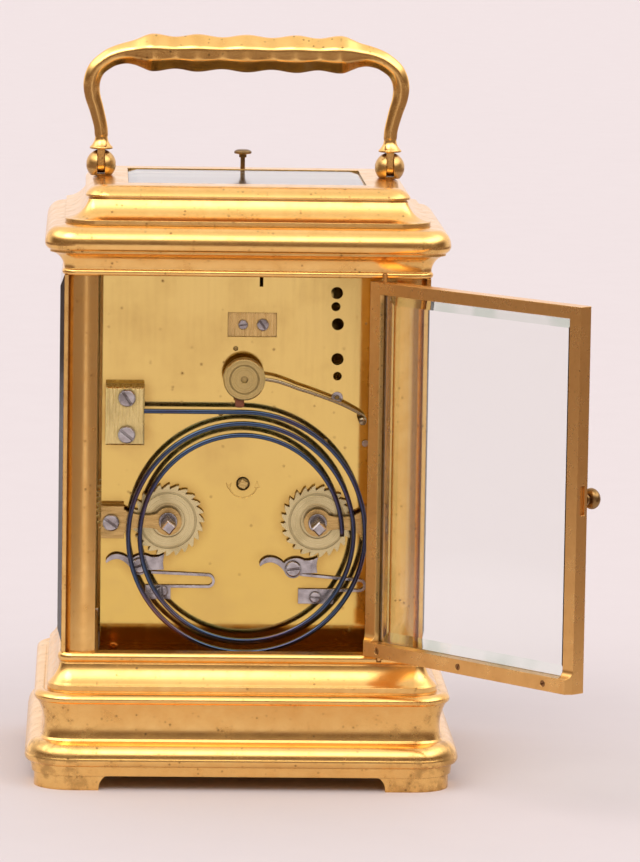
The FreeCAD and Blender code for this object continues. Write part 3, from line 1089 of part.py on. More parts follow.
def dial_mask():
    """Gilt surround that frames the dial."""
    y0, y1 = DIAL_Y1, DIAL_Y1 + MASK_THICK
    outer = plate_xz(rounded_rectangle(PILLAR_IN - 0.3, SILL_Z + 0.2, CORNICE_Z - 0.2, 0.6), y0, y1)
    inner = plate_xz(rounded_rectangle(27.0, 36.0, 111.5, 3.0), y0 - 1, y1 + 1)
    return outer.cut(inner)


def hand(tip, hub_r, bore, y0, y1, angle):
    """Slim tapering hand with a round eye and a small ring near the tip."""
    path = [(-0.9, 0.0), (-0.55, tip * 0.6), (-0.35, tip * 0.88), (0.0, tip), (0.35, tip * 0.88),
            (0.55, tip * 0.6), (0.9, 0.0), (0.5, -4.0), (-0.5, -4.0)]
    ring = rod_y(1.7, y0, y1, 0, tip * 0.68).cut(rod_y(1.0, y0 - 1, y1 + 1, 0, tip * 0.68))
    blade = plate_xz(path, y0, y1).cut(rod_y(1.0, y0 - 1, y1 + 1, 0, tip * 0.68))
    shape = union([blade, ring, rod_y(hub_r, y0, y1, 0, 0)]).cut(rod_y(bore, y0 - 1, y1 + 1, 0, 0))
    shape.rotate(V(0, 0, 0), V(0, 1, 0), -angle)
    shape.translate(V(CENTRE[0], 0, CENTRE[1]))
    return shape


# ================================================================ every sub-part
PARTS = {
    "pillar_rear_left": lambda: pillar(-1, -1),
    "pillar_rear_right": lambda: pillar(1, -1),
    "pillar_front_left": lambda: pillar(-1, 1),
    "pillar_front_right": lambda: pillar(1, 1),
    "side_glass_left": lambda: side_glass(-1),
    "side_glass_right": lambda: side_glass(1),
    "ratchet_left": lambda: ratchet(BARREL_LEFT, -92.6),
    "ratchet_right": lambda: ratchet(BARREL_RIGHT, -86.3),
    "winding_arbor_left": lambda: winding_arbor(BARREL_LEFT, 38),
    "winding_arbor_right": lambda: winding_arbor(BARREL_RIGHT, 45),
    "click_left": lambda: click(LEFT_CLICK),
    "click_right": lambda: click(RIGHT_CLICK),
    "barrel_left": lambda: drum(BARREL_LEFT, -10.0, 8.2, 8.2, 9.8),
    "barrel_right": lambda: drum(BARREL_RIGHT, -8.0, 10.2, -9.6, -8.0),
    "hour_hand": lambda: hand(15.5, 4.0, HOUR_PIPE_R, 28.2, 28.8, HOUR_HAND_ANGLE),
    "minute_hand": lambda: hand(22.5, 2.8, HAND_ARBOR_R, 29.4, 30.0, MINUTE_HAND_ANGLE),
}
SINGLE = (base_plinth, base_moulding, deck_plate, cornice_moulding, lid_moulding, top_glass, front_glass,
          door_frame, door_rail, door_glass, door_screws, door_knob, handle, handle_posts, handle_pins,
          repeat_button, repeat_lever, back_plate, front_plate, plate_pillars, gong_block, gong_coil,
          hammer_head, hammer_arm, hammer_pad, ratchet_cocks, click_springs, plate_screws, stud_block,
          centre_wheel, third_wheel, contrate_wheel, platform_plate, escape_wheel, pallet_lever,
          balance_wheel, balance_cock, strike_wheel, fly, cannon_pinion, minute_wheel, hour_wheel,
          dial_plate, dial_mask)
PARTS.update({make.__name__: make for make in SINGLE})

os.makedirs("parts", exist_ok=True)
for name, make in PARTS.items():
    shape = make()
    shape.translate(V(0, 0, DATUM))
    shape.exportStep(f"parts/{name}.step")
    print(f"{name}: solids {len(shape.Solids)} valid {shape.isValid()} volume {shape.Volume:.1f}")
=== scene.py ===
"""Looks of the carriage clock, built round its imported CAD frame.

Metres, +Z up, the back of the clock faces -Y. Every place comes from the frame's boxes or from the
driving sizes below. Most repeat the sizes that the parts were drawn with. The handle is shaped more
finely here, and the hammer's arm is thinner and sinks towards the plate.
"""
import json
import math

import bpy
from mathutils import Matrix, Vector


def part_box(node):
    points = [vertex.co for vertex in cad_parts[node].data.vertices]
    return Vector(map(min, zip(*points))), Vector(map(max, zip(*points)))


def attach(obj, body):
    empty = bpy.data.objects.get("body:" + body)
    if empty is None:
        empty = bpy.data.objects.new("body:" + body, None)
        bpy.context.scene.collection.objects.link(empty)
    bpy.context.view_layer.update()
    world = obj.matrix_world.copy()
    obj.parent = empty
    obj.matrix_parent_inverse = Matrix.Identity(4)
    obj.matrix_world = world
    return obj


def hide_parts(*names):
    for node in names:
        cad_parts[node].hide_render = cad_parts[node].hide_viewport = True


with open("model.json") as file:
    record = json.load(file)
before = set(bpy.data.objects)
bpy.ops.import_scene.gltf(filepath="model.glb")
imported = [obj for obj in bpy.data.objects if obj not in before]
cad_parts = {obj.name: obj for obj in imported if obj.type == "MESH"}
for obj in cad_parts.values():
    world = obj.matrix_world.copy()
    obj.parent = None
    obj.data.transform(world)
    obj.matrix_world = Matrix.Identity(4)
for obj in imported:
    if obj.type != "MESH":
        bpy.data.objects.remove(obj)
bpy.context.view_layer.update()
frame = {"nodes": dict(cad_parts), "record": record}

MM = 0.001
DATUM = 0.9                 # heights given in millimetres are measured from this far above the soles

# ---------------------------------------------------------------- camera: the photographer's place
CAMERA_AT = (-0.03587, -1.2881, 0.2454)
CAMERA_YAW, CAMERA_PITCH, CAMERA_ROLL = 2.414, 7.375, 0.885     # degrees
LENS, SENSOR = 230.06, 36.0                                     # millimetres

# ---------------------------------------------------------------- handle, in millimetres
POST_X, POST_Z = 33.83, 140.17
GRIP_Z = 166.45
LOBE_X, WAIST_X = (0.0, 11.6, 21.8), (5.8, 16.7)
LOBE_HALF, WAIST_HALF = 4.4, 3.75
GRIP_END, GRIP_STEP = 22.0, 0.5
GRIP_CRISP, BELL_CRISP = 30.0, 4.0
# x, z, half-thickness, crispness of the edges
NECK = ((23.3, 166.45, 4.14, 28), (24.8, 166.42, 3.52, 24), (26.4, 166.36, 2.9, 18), (28.2, 166.2, 2.52, 14),
        (30.2, 165.72, 2.32, 12), (32.3, 164.8, 2.2, 12), (34.95, 162.6, 2.07, 12), (36.15, 159.6, 1.98, 12),
        (36.0, 156.4, 1.86, 12), (35.0, 153.0, 1.72, 12), (34.05, 149.2, 1.6, 12), (33.83, 146.9, 1.62, 7))
# x, z, radius
BELL = ((33.83, 146.0, 1.75), (33.83, 145.3, 2.05), (33.83, 144.65, 2.55), (33.83, 144.25, 2.98),
        (33.83, 144.12, 3.04), (33.83, 143.95, 3.04), (33.83, 143.8, 2.92), (33.83, 143.73, 2.6))
BEVEL_OF_GRIP = 0.955       # how far its slanting faces stand from the middle, as a share of the upright ones
TONGUE_R, TONGUE_HALF, TONGUE_HOLE = 2.05, 0.9, 0.76
TONGUE_EASING, TONGUE_LAP = 0.12, 0.3

# ---------------------------------------------------------------- gong and hammer, in millimetres
GONG_CENTRE, GONG_R, GONG_PITCH, GONG_TURNS = (0.2, 55.7), 28.9, 2.7, 2.25
GONG_WIDE, GONG_DEEP = 1.1, 1.6
STRIP_SQUARENESS, PAD_SQUARENESS = 0.6, 0.45                    # 1 is an ellipse, 0 a rectangle
HAMMER_PIVOT = (27.5, 82.5)
ARM_HALF, ARM_TAPER, ARM_HALF_DEEP = 0.46, 0.1, 0.42
# stations of the arm's centre line: x, y, z
ARM = ((1.0, -20.6, 92.3), (3.0, -20.6, 92.3), (5.0, -20.4, 92.2), (7.5, -20.2, 91.75), (10.1, -19.9, 90.9),
       (12.6, -19.6, 89.95), (15.6, -19.2, 89.0), (18.9, -18.9, 87.8), (21.5, -18.6, 86.8),
       (24.4, -18.3, 85.5), (27.5, -18.1, 83.7), (28.2, -18.1, 82.5))
# height over the arbor's inner end, radius
COLLAR = ((2.2, 0.75), (2.35, 0.9), (3.2, 0.9), (3.4, 0.8), (3.4, 0.7))
ARBOR_R = 0.7

# ---------------------------------------------------------------- dial, in millimetres
NUMERALS = ("XII", "I", "II", "III", "IIII", "V", "VI", "VII", "VIII", "IX", "X", "XI")
NUMERAL_R, NUMERAL_TALL, TRACK_R, TRACK_HALF = 19.6, 5.0, 24.6, 0.75
THICK_STROKE, THIN_STROKE, SERIF = 0.85, 0.32, 0.22
TRACK_LINE, MINUTE_MARK, FIVE_MINUTE_MARK = 0.14, 0.16, 0.55
INK_THICK = 0.04
MASK_OVERLAP, MASK_GAP, MASK_THICK, MASK_EASING = 0.2, 0.05, 0.9, 0.15


# ================================================================ node helpers
class Surface:
    """A node material with one Principled shader and the helpers that feed it."""

    def __init__(self, name):
        self.material = bpy.data.materials.new(name)
        self.material.use_nodes = True
        self.tree = self.material.node_tree
        self.shader = next(n for n in self.tree.nodes if n.type == "BSDF_PRINCIPLED")
        self.output = next(n for n in self.tree.nodes if n.type == "OUTPUT_MATERIAL")
        self.place = self.node("ShaderNodeTexCoord").outputs["Object"]

    def node(self, kind, **inputs):
        made = self.tree.nodes.new(kind)
        for key, value in inputs.items():
            socket = made.inputs[key.replace("_", " ")]
            if isinstance(value, bpy.types.NodeSocket):
                self.tree.links.new(value, socket)
            else:
                socket.default_value = value
        return made

    def feed(self, name, value):
        if isinstance(value, bpy.types.NodeSocket):
            self.tree.links.new(value, self.shader.inputs[name])
        else:
            self.shader.inputs[name].default_value = value

    def noise(self, scale, detail=2.0, stretch=None, offset=0.0, roughness=0.5):
        """Noise between 0 and 1, scale in features per metre, stretched by a factor along each axis."""
        place = self.place
        if stretch or offset:
            mapping = self.node("ShaderNodeMapping", Vector=place)
            mapping.inputs["Scale"].default_value = stretch or (1, 1, 1)
            mapping.inputs["Location"].default_value = (offset, offset, offset)
            place = mapping.outputs[0]
        made = self.node("ShaderNodeTexNoise", Vector=place, Scale=scale, Detail=detail, Roughness=roughness)
        return made.outputs["Fac"]

    def span(self, value, low, high, to_low=0.0, to_high=1.0):
        """Value mapped from low..high to to_low..to_high, clamped."""
        made = self.node("ShaderNodeMapRange", Value=value)
        for key, number in (("From Min", low), ("From Max", high), ("To Min", to_low), ("To Max", to_high)):
            made.inputs[key].default_value = number
        return made.outputs["Result"]

    def sum(self, *values):
        total = values[0]
        for value in values[1:]:
            total = self.math("ADD", total, value)
        return total

    def math(self, operation, a, b):
        made = self.tree.nodes.new("ShaderNodeMath")
        made.operation = operation
        for socket, value in zip(made.inputs, (a, b)):
            if isinstance(value, bpy.types.NodeSocket):
                self.tree.links.new(value, socket)
            else:
                socket.default_value = value
        return made.outputs[0]

    def blend(self, share, first, second):
        """Colour mix: share of second over first."""
        made = self.tree.nodes.new("ShaderNodeMix")
        made.data_type = "RGBA"
        for index, value in ((0, share), (6, first), (7, second)):
            if isinstance(value, bpy.types.NodeSocket):
                self.tree.links.new(value, made.inputs[index])
            else:
                made.inputs[index].default_value = value if index == 0 else (*value, 1.0)
        return made.outputs[2]

    def dots(self, scale, radius, soft, where):
        """Round specks: one in each cell of a grid of scale cells per metre, kept where the share is high."""
        made = self.node("ShaderNodeTexVoronoi", Vector=self.place, Scale=scale)
        speck = self.span(made.outputs["Distance"], radius, radius + soft, 1.0, 0.0)
        split = self.node("ShaderNodeSeparateColor", Color=made.outputs["Color"])
        chosen = self.math("MULTIPLY", self.span(split.outputs[0], 0.5, 0.9), where)
        return self.math("MULTIPLY", speck, chosen)

    def corners(self, amount):
        """Amount near the corners of the base and the cornice, where hands and damp have been."""
        split = self.node("ShaderNodeSeparateXYZ", Vector=self.place)
        x = self.math("ABSOLUTE", split.outputs[0], 0.0)
        y = self.math("ABSOLUTE", split.outputs[1], 0.0)
        z = split.outputs[2]
        near = self.math("MULTIPLY", self.span(x, 28 * MM, 48 * MM), self.span(y, 25 * MM, 42 * MM))
        low = self.span(z, 14 * MM, 24 * MM, 1.0, 0.0)
        high = self.math("MULTIPLY", self.span(z, 119 * MM, 123 * MM),
                         self.span(z, 128 * MM, 131 * MM, 0.7, 0.0))
        return self.math("MULTIPLY", self.math("MULTIPLY", near, self.math("MAXIMUM", low, high)), amount)

    def crevice(self, distance, low, high):
        """1 in hollows narrower than distance, 0 in the open."""
        made = self.node("ShaderNodeAmbientOcclusion", Distance=distance)
        made.samples = 6
        return self.span(made.outputs["AO"], low, high, 1.0, 0.0)

    def soft_edges(self, radius):
        made = self.node("ShaderNodeBevel", Radius=radius)
        made.samples = 4
        return made.outputs["Normal"]

    def bump(self, height, distance, normal=None, strength=1.0):
        made = self.node("ShaderNodeBump", Height=height, Distance=distance, Strength=strength)
        if normal is not None:
            self.tree.links.new(normal, made.inputs["Normal"])
        return made.outputs["Normal"]

    def about(self, centre):
        """Distance from an axis along Y through centre, in metres."""
        moved = self.node("ShaderNodeVectorMath")
        moved.operation = "SUBTRACT"
        self.tree.links.new(self.place, moved.inputs[0])
        moved.inputs[1].default_value = centre
        flat = self.node("ShaderNodeVectorMath")
        flat.operation = "MULTIPLY"
        self.tree.links.new(moved.outputs[0], flat.inputs[0])
        flat.inputs[1].default_value = (1.0, 0.0, 1.0)
        length = self.node("ShaderNodeVectorMath")
        length.operation = "LENGTH"
        self.tree.links.new(flat.outputs[0], length.inputs[0])
        return length.outputs["Value"]


# ================================================================ materials
def gilt(name, bright, deep, rough=0.22, speckle=0.6, stain=0.5, tarnish=0.0, underside_shade=0.0):
    """Mercury-gilt brass: satin grain, a warm drift of colour, dots and patches where the gilding has gone.

    tarnish is for the case's corners; faces that look down get painted shade, as strong as the last argument
    asks.
    """
    s = Surface(name)
    cloud = s.noise(30.0, detail=3.0)
    mottle = s.noise(260.0, detail=5.0, roughness=0.6)
    grain = s.noise(4200.0, detail=2.0)
    rubbed = s.span(cloud, 0.46, 0.66)
    dots = s.dots(900.0, 0.20, 0.12, s.span(mottle, 0.46, 0.60))
    corner = s.corners(tarnish)
    worn = s.span(s.sum(mottle, s.math("MULTIPLY", corner, 0.22)), 0.60, 0.74)
    patches = s.math("MULTIPLY", worn, s.span(corner, 0.0, 0.6, 0.08, 0.62))
    # painted shade: the colour is darkened in hollows narrower than 1 mm, which are also made rougher
    hollow_shade = s.crevice(1.0 * MM, 0.25, 0.75)
    colour = s.blend(s.span(mottle, 0.3, 0.7), bright, deep)
    colour = s.blend(s.math("MULTIPLY", rubbed, 0.5 * stain), colour, (0.70, 0.38, 0.11))
    colour = s.blend(patches, colour, (0.42, 0.25, 0.09))
    colour = s.blend(s.math("MULTIPLY", dots, speckle), colour, (0.14, 0.07, 0.025))
    # painted shade: faces that look down are darkened towards brown
    if underside_shade:
        normal = s.node("ShaderNodeTexCoord").outputs["Normal"]
        down = s.node("ShaderNodeSeparateXYZ", Vector=normal).outputs[2]
        colour = s.blend(s.span(down, -0.55, -0.2, underside_shade, 0.0), colour, (0.20, 0.095, 0.03))
    # painted shade: the hollows darkened to brown
    colour = s.blend(s.math("MULTIPLY", hollow_shade, 0.65), colour, (0.24, 0.10, 0.03))
    s.feed("Base Color", colour)
    s.feed("Metallic", 1.0)
    base = s.span(mottle, 0.3, 0.7, rough - 0.03, rough + 0.05)
    base = s.math("ADD", base, s.math("MULTIPLY", patches, 0.12))
    s.feed("Roughness", s.math("ADD", base, s.math("MULTIPLY", hollow_shade, 0.15)))
    wavy = s.bump(mottle, 0.012 * MM, s.soft_edges(0.25 * MM), 0.4)
    s.feed("Normal", s.bump(grain, 0.007 * MM, wavy, 0.5))
    return s.material


def plate_gilt(name):
    """Polished gilt plate: a soft mirror with faint brown stains, wiping marks and halos round its holes."""
    s = Surface(name)
    cloud = s.noise(48.0, detail=5.0, offset=1.7, roughness=0.6)
    wipe = s.noise(900.0, detail=3.0, stretch=(1.0, 1.0, 0.06))
    blot = s.noise(170.0, detail=4.0, offset=5.3)
    stain = s.span(cloud, 0.50, 0.72)
    specks = s.dots(420.0, 0.10, 0.10, s.span(blot, 0.46, 0.62))
    halo = s.math("MULTIPLY", s.crevice(3.0 * MM, 0.55, 0.97), s.span(blot, 0.35, 0.60, 0.35, 1.0))
    split = s.node("ShaderNodeSeparateXYZ", Vector=s.place)
    # the colour grows deeper orange towards the bottom of the plate
    colour = s.blend(s.span(split.outputs[2], 40 * MM, 105 * MM), (0.82, 0.57, 0.145), (0.83, 0.60, 0.21))
    colour = s.blend(s.span(cloud, 0.3, 0.6, 0.0, 0.4), colour, (0.78, 0.55, 0.17))
    colour = s.blend(s.math("MULTIPLY", stain, 0.35), colour, (0.62, 0.40, 0.13))
    colour = s.blend(s.math("MULTIPLY", specks, 0.5), colour, (0.34, 0.20, 0.07))
    colour = s.blend(s.math("MULTIPLY", halo, 0.65), colour, (0.44, 0.24, 0.06))
    s.feed("Base Color", colour)
    s.feed("Metallic", 1.0)
    s.feed("Roughness", s.sum(s.span(wipe, 0.3, 0.7, 0.05, 0.10), s.math("MULTIPLY", stain, 0.05),
                              s.math("MULTIPLY", specks, 0.2)))
    wave = s.bump(s.noise(75.0, detail=1.0), 0.02 * MM, s.soft_edges(0.12 * MM), 0.25)
    s.feed("Normal", s.bump(wipe, 0.002 * MM, wave, 0.25))
    return s.material


def grained(name, bright, deep, stretch, rough=0.3):
    """Brass or steel left from the emery stick: fine parallel lines, a little tarnish here and there, painted
    shade in the corners.
    """
    # hollow is the brown of the painted shade in corners
    tarnish, hollow = (0.30, 0.22, 0.10), (0.135, 0.099, 0.045)
    s = Surface(name)
    line = s.noise(2600.0, detail=3.0, stretch=stretch)
    cloud = s.noise(150.0, detail=3.0)
    # painted shade: the colour is darkened in hollows narrower than 1.5 mm, which are also made rougher
    hollow_shade = s.crevice(1.5 * MM, 0.30, 0.85)
    colour = s.blend(s.span(line, 0.3, 0.7, 0.2, 0.7), bright, deep)
    colour = s.blend(s.span(cloud, 0.5, 0.8, 0.0, 0.35), colour, tarnish)
    colour = s.blend(s.math("MULTIPLY", hollow_shade, 0.7), colour, hollow)
    s.feed("Base Color", colour)
    s.feed("Metallic", 1.0)
    s.feed("Roughness", s.sum(s.span(line, 0.3, 0.7, rough - 0.06, rough + 0.08),
                              s.math("MULTIPLY", hollow_shade, 0.15)))
    s.feed("Normal", s.bump(line, 0.003 * MM, s.soft_edges(0.12 * MM), 0.5))
    return s.material


def turned(name, node, bright, deep):
    """Lathe-turned brass: fine rings about the piece's own axis."""
    s = Surface(name)
    lo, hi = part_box(node)
    radius = s.about((lo + hi) / 2)
    rings = s.node("ShaderNodeTexNoise", Scale=1.0, Detail=3.0)
    rings.noise_dimensions = "1D"
    s.tree.links.new(s.math("MULTIPLY", radius, 9000.0), rings.inputs["W"])
    line = rings.outputs["Fac"]
    cloud = s.noise(220.0, detail=3.0)
    # painted shade: the colour is darkened in hollows narrower than 1 mm
    hollow_shade = s.crevice(1.0 * MM, 0.30, 0.85)
    colour = s.blend(s.span(line, 0.3, 0.7), bright, deep)
    colour = s.blend(s.span(cloud, 0.45, 0.8, 0.0, 0.5), colour, (0.42, 0.33, 0.14))
    colour = s.blend(s.math("MULTIPLY", hollow_shade, 0.75), colour, (0.20, 0.15, 0.06))
    s.feed("Base Color", colour)
    s.feed("Metallic", 1.0)
    s.feed("Roughness", s.span(line, 0.3, 0.7, 0.22, 0.36))
    s.feed("Normal", s.bump(line, 0.006 * MM, s.soft_edges(0.1 * MM), 0.6))
    return s.material


def steel(name):
    """Hand-polished steel gone slightly grey, with specks of old rust in the corners and painted shade in its
    slots.
    """
    s = Surface(name)
    line = s.noise(2200.0, detail=3.0, stretch=(0.12, 1.0, 1.0))
    cloud = s.noise(420.0, detail=3.0)
    rust = s.math("MULTIPLY", s.crevice(0.8 * MM, 0.25, 0.8), s.span(cloud, 0.45, 0.65))
    # painted shade: narrow hollows such as screw slots are painted near black
    slot = s.crevice(0.7 * MM, 0.35, 0.9)
    colour = s.blend(s.span(cloud, 0.35, 0.7), (0.56, 0.53, 0.53), (0.36, 0.33, 0.34))
    colour = s.blend(s.math("MULTIPLY", slot, 0.92), colour, (0.05, 0.035, 0.03))
    colour = s.blend(s.math("MULTIPLY", rust, 0.8), colour, (0.10, 0.045, 0.02))
    s.feed("Base Color", colour)
    s.feed("Metallic", 1.0)
    s.feed("Roughness", s.sum(s.span(cloud, 0.3, 0.7, 0.16, 0.30), s.math("MULTIPLY", rust, 0.3)))
    s.feed("Normal", s.bump(line, 0.005 * MM, s.soft_edges(0.12 * MM), 0.4))
    return s.material


def blued(name, straw_near=None):
    """Tempered blue steel that drifts to purple, and through purple to straw close to a given point."""
    s = Surface(name)
    drift = s.noise(55.0, detail=2.0, offset=2.2)
    fine = s.noise(900.0, detail=3.0)
    colour = s.blend(s.span(drift, 0.42, 0.62), (0.065, 0.10, 0.175), (0.07, 0.065, 0.12))
    colour = s.blend(s.span(drift, 0.60, 0.72, 0.0, 0.8), colour, (0.10, 0.06, 0.075))
    # tinted purple within 17 mm of straw_near, and straw within 12 mm
    if straw_near is not None:
        away = s.node("ShaderNodeVectorMath")
        away.operation = "DISTANCE"
        s.tree.links.new(s.place, away.inputs[0])
        away.inputs[1].default_value = straw_near
        distance = away.outputs["Value"]
        colour = s.blend(s.span(distance, 12 * MM, 17 * MM, 0.9, 0.0), colour, (0.20, 0.12, 0.15))
        colour = s.blend(s.span(distance, 5 * MM, 12 * MM, 1.0, 0.0), colour, (0.45, 0.36, 0.24))
    s.feed("Base Color", colour)
    s.feed("Metallic", 1.0)
    s.feed("Roughness", s.span(fine, 0.3, 0.7, 0.16, 0.26))
    s.feed("Normal", s.bump(fine, 0.004 * MM, None, 0.4))
    return s.material


def glass(name, outward, dust=0.0):
    """Old plate glass: clear faces, bevels whose thickness shows green, dark green ground edges.

    outward is the direction the pane faces; dust dulls what it mirrors.
    """
    s = Surface(name)
    facing = s.node("ShaderNodeVectorMath")
    facing.operation = "DOT_PRODUCT"
    s.tree.links.new(s.node("ShaderNodeTexCoord").outputs["Normal"], facing.inputs[0])
    facing.inputs[1].default_value = outward
    flat = s.math("ABSOLUTE", facing.outputs["Value"], 0.0)
    bevel, rim = s.span(flat, 0.975, 0.995, 1.0, 0.0), s.span(flat, 0.2, 0.5, 1.0, 0.0)
    drift = s.noise(110.0, detail=1.0, stretch=(1.0, 1.0, 0.35))
    green = s.blend(s.span(drift, 0.42, 0.58), (0.58, 0.72, 0.60), (0.86, 0.93, 0.86))
    colour = s.blend(bevel, (0.985, 0.99, 0.985), green)
    s.feed("Base Color", s.blend(rim, colour, (0.16, 0.22, 0.15)))
    s.feed("Transmission Weight", 1.0)
    s.feed("IOR", 1.5)
    film = s.noise(140.0, detail=5.0)
    s.feed("Roughness", s.sum(s.span(film, 0.45, 0.8, dust, dust + 0.02), s.math("MULTIPLY", rim, 0.25)))
    s.feed("Normal", s.bump(s.noise(22.0, detail=1.0), 0.02 * MM, None, 0.2))
    absorb = s.node("ShaderNodeVolumeAbsorption", Color=(0.55, 0.86, 0.72, 1.0), Density=24.0)
    s.tree.links.new(absorb.outputs[0], s.output.inputs["Volume"])
    clear = s.node("ShaderNodeBsdfTransparent", Color=(0.93, 0.96, 0.94, 1.0))
    path = s.node("ShaderNodeLightPath")
    either = s.tree.nodes.new("ShaderNodeMixShader")
    s.tree.links.new(path.outputs["Is Shadow Ray"], either.inputs[0])
    s.tree.links.new(s.shader.outputs[0], either.inputs[1])
    s.tree.links.new(clear.outputs[0], either.inputs[2])
    s.tree.links.new(either.outputs[0], s.output.inputs["Surface"])
    return s.material


def enamel(name):
    """White vitreous enamel with the slight orange peel of a fired surface."""
    s = Surface(name)
    cloud = s.noise(90.0, detail=3.0)
    s.feed("Base Color", s.blend(s.span(cloud, 0.35, 0.7), (0.86, 0.85, 0.80), (0.80, 0.78, 0.71)))
    s.feed("Roughness", s.span(s.noise(400.0), 0.3, 0.7, 0.08, 0.16))
    s.feed("Coat Weight", 0.6)
    s.feed("Normal", s.bump(s.noise(260.0, detail=1.0), 0.02 * MM, None, 0.3))
    return s.material


def ink(name):
    """Fired black enamel of the numerals."""
    s = Surface(name)
    cloud = s.noise(1200.0, detail=2.0)
    s.feed("Base Color", s.blend(cloud, (0.008, 0.008, 0.010), (0.028, 0.026, 0.028)))
    s.feed("Roughness", s.span(cloud, 0.3, 0.7, 0.18, 0.34))
    return s.material


def leather(name):
    """Red-brown leather, its cut edge fibrous, with darker patches."""
    s = Surface(name)
    grain = s.noise(2400.0, detail=4.0, roughness=0.7)
    cloud = s.noise(500.0, detail=2.0)
    colour = s.blend(s.span(grain, 0.3, 0.7), (0.30, 0.09, 0.035), (0.16, 0.045, 0.02))
    s.feed("Base Color", s.blend(s.span(cloud, 0.5, 0.75), colour, (0.09, 0.035, 0.02)))
    s.feed("Roughness", s.span(grain, 0.3, 0.7, 0.55, 0.85))
    s.feed("Normal", s.bump(grain, 0.08 * MM, None, 0.8))
    return s.material


def paper(name):
    """Pale studio floor."""
    s = Surface(name)
    fibre = s.noise(60.0, detail=4.0)
    s.feed("Base Color", s.blend(s.span(fibre, 0.3, 0.7), (0.70, 0.64, 0.65), (0.695, 0.635, 0.645)))
    s.feed("Roughness", s.span(fibre, 0.3, 0.7, 0.75, 0.85))
    s.feed("Specular IOR Level", 0.2)
    return s.material


CASE_BRIGHT, CASE_DEEP = (0.95, 0.61, 0.215), (0.88, 0.52, 0.16)


def frame_materials():
    """One material for each of the record's slots, and the few nodes that have their own."""
    wide_grain, upright_grain = (0.10, 1.0, 1.0), (1.0, 1.0, 0.08)
    slots = {
        "gilt_case": gilt("gilt_case", CASE_BRIGHT, CASE_DEEP, tarnish=1.0),
        "dark_brass": gilt("dark_brass", (0.30, 0.19, 0.08), (0.15, 0.085, 0.035), rough=0.3, speckle=0.9),
        "polished_plate": plate_gilt("polished_plate"),
        "pale_brass": grained("pale_brass", (0.66, 0.55, 0.27), (0.52, 0.42, 0.19), wide_grain),
        "wheel_brass": grained("wheel_brass", (0.80, 0.58, 0.22), (0.66, 0.45, 0.15), wide_grain, rough=0.26),
        "steel": steel("steel"),
        "blued_steel": blued("blued_steel"),
        "bevelled_glass": glass("glass_front", (0.0, 1.0, 0.0)),
        "enamel": enamel("enamel"),
        "leather": leather("leather"),
    }
    pale, shade = (0.88, 0.77, 0.44), (0.76, 0.63, 0.31)
    own = {node: turned(node + "_turned", node, pale, shade) for node in ("ratchet_left", "ratchet_right")}
    # painted shade on the downward faces of the posts and pins
    post = gilt("post_gilt", (0.74, 0.46, 0.16), (0.56, 0.33, 0.11), rough=0.3, underside_shade=0.5)
    own["handle_posts"] = own["handle_pins"] = post
    own["hammer_head"] = turned("hammer_turned", "hammer_head", (0.76, 0.58, 0.24), (0.62, 0.46, 0.17))
    for node, name, bright, deep, stretch, rough in (
            ("gong_block", "gong_block_grain", (0.95, 0.77, 0.34), (0.82, 0.65, 0.26), upright_grain, 0.24),
            ("stud_block", "stud_block_grain", (0.94, 0.66, 0.27), (0.82, 0.54, 0.19), upright_grain, 0.24),
            ("ratchet_cocks", "cock_grain", (0.68, 0.46, 0.18), (0.56, 0.36, 0.12), wide_grain, 0.22)):
        own[node] = grained(name, bright, deep, stretch, rough=rough)
    # the deck plate is coloured dark red-brown all over
    own["deck_plate"] = gilt("deck_dark_red", (0.30, 0.09, 0.03), (0.20, 0.055, 0.02), rough=0.18, speckle=0.3)
    own["door_screws"] = gilt("door_screw_brass", (0.40, 0.22, 0.09), (0.28, 0.14, 0.06), rough=0.3)
    brushed = gilt("door_brushed", (0.90, 0.54, 0.19), (0.82, 0.46, 0.15), rough=0.28, speckle=0.15,
                   stain=0.3)
    own["door_frame"] = own["door_rail"] = brushed
    sideways, up = (1.0, 0.0, 0.0), (0.0, 0.0, 1.0)
    for node, outward, dust in (("side_glass_left", sideways, 0.0), ("side_glass_right", sideways, 0.0),
                                ("top_glass", up, 0.07), ("door_glass", door_facing(), 0.0)):
        own[node] = glass(node + "_pane", outward, dust)
    return slots, own


def door_facing():
    """Direction the open door's inner face looks in: square to the rail, from its outer side to its inner."""
    lo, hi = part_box("door_rail")
    along_rail = Vector((hi.x - lo.x, lo.y - hi.y, 0.0)).normalized()
    return (along_rail.y, -along_rail.x, 0.0)


def dress_frame(slots, own):
    """Give every CAD node its material."""
    for part in frame["record"]["subparts"]:
        node = frame["nodes"][part["node"]]
        material = own.get(part["node"]) or slots[part["material_slot"]]
        node.data.materials.clear()
        node.data.materials.append(material)


# ================================================================ mesh helpers
def piece(name, points, faces, body, slot, material, smooth=True):
    """New mesh, in millimetres and heights above the datum, that rides on a body."""
    mesh = bpy.data.meshes.new(name)
    mesh.from_pydata([(x * MM, y * MM, (z + DATUM) * MM) for x, y, z in points], [], faces)
    mesh.validate()
    made = bpy.data.objects.new(name, mesh)
    bpy.context.scene.collection.objects.link(made)
    mesh.materials.append(material)
    if smooth:
        mesh.shade_smooth()
    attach(made, body)
    return made


def tube(rings):
    """Points and faces of a closed skin over equal rings, capped at both ends."""
    count = len(rings[0])
    points = [p for ring in rings for p in ring]
    faces = []
    for i in range(len(rings) - 1):
        for j in range(count):
            a, b = i * count + j, i * count + (j + 1) % count
            faces.append((a, b, b + count, a + count))
    faces.append(tuple(reversed(range(count))))
    faces.append(tuple(range(len(points) - count, len(points))))
    return points, faces


def joined(parts):
    """Several (points, faces) sets as one."""
    points, faces = [], []
    for more_points, more_faces in parts:
        start = len(points)
        points += more_points
        faces += [tuple(start + i for i in f) for f in more_faces]
    return points, faces


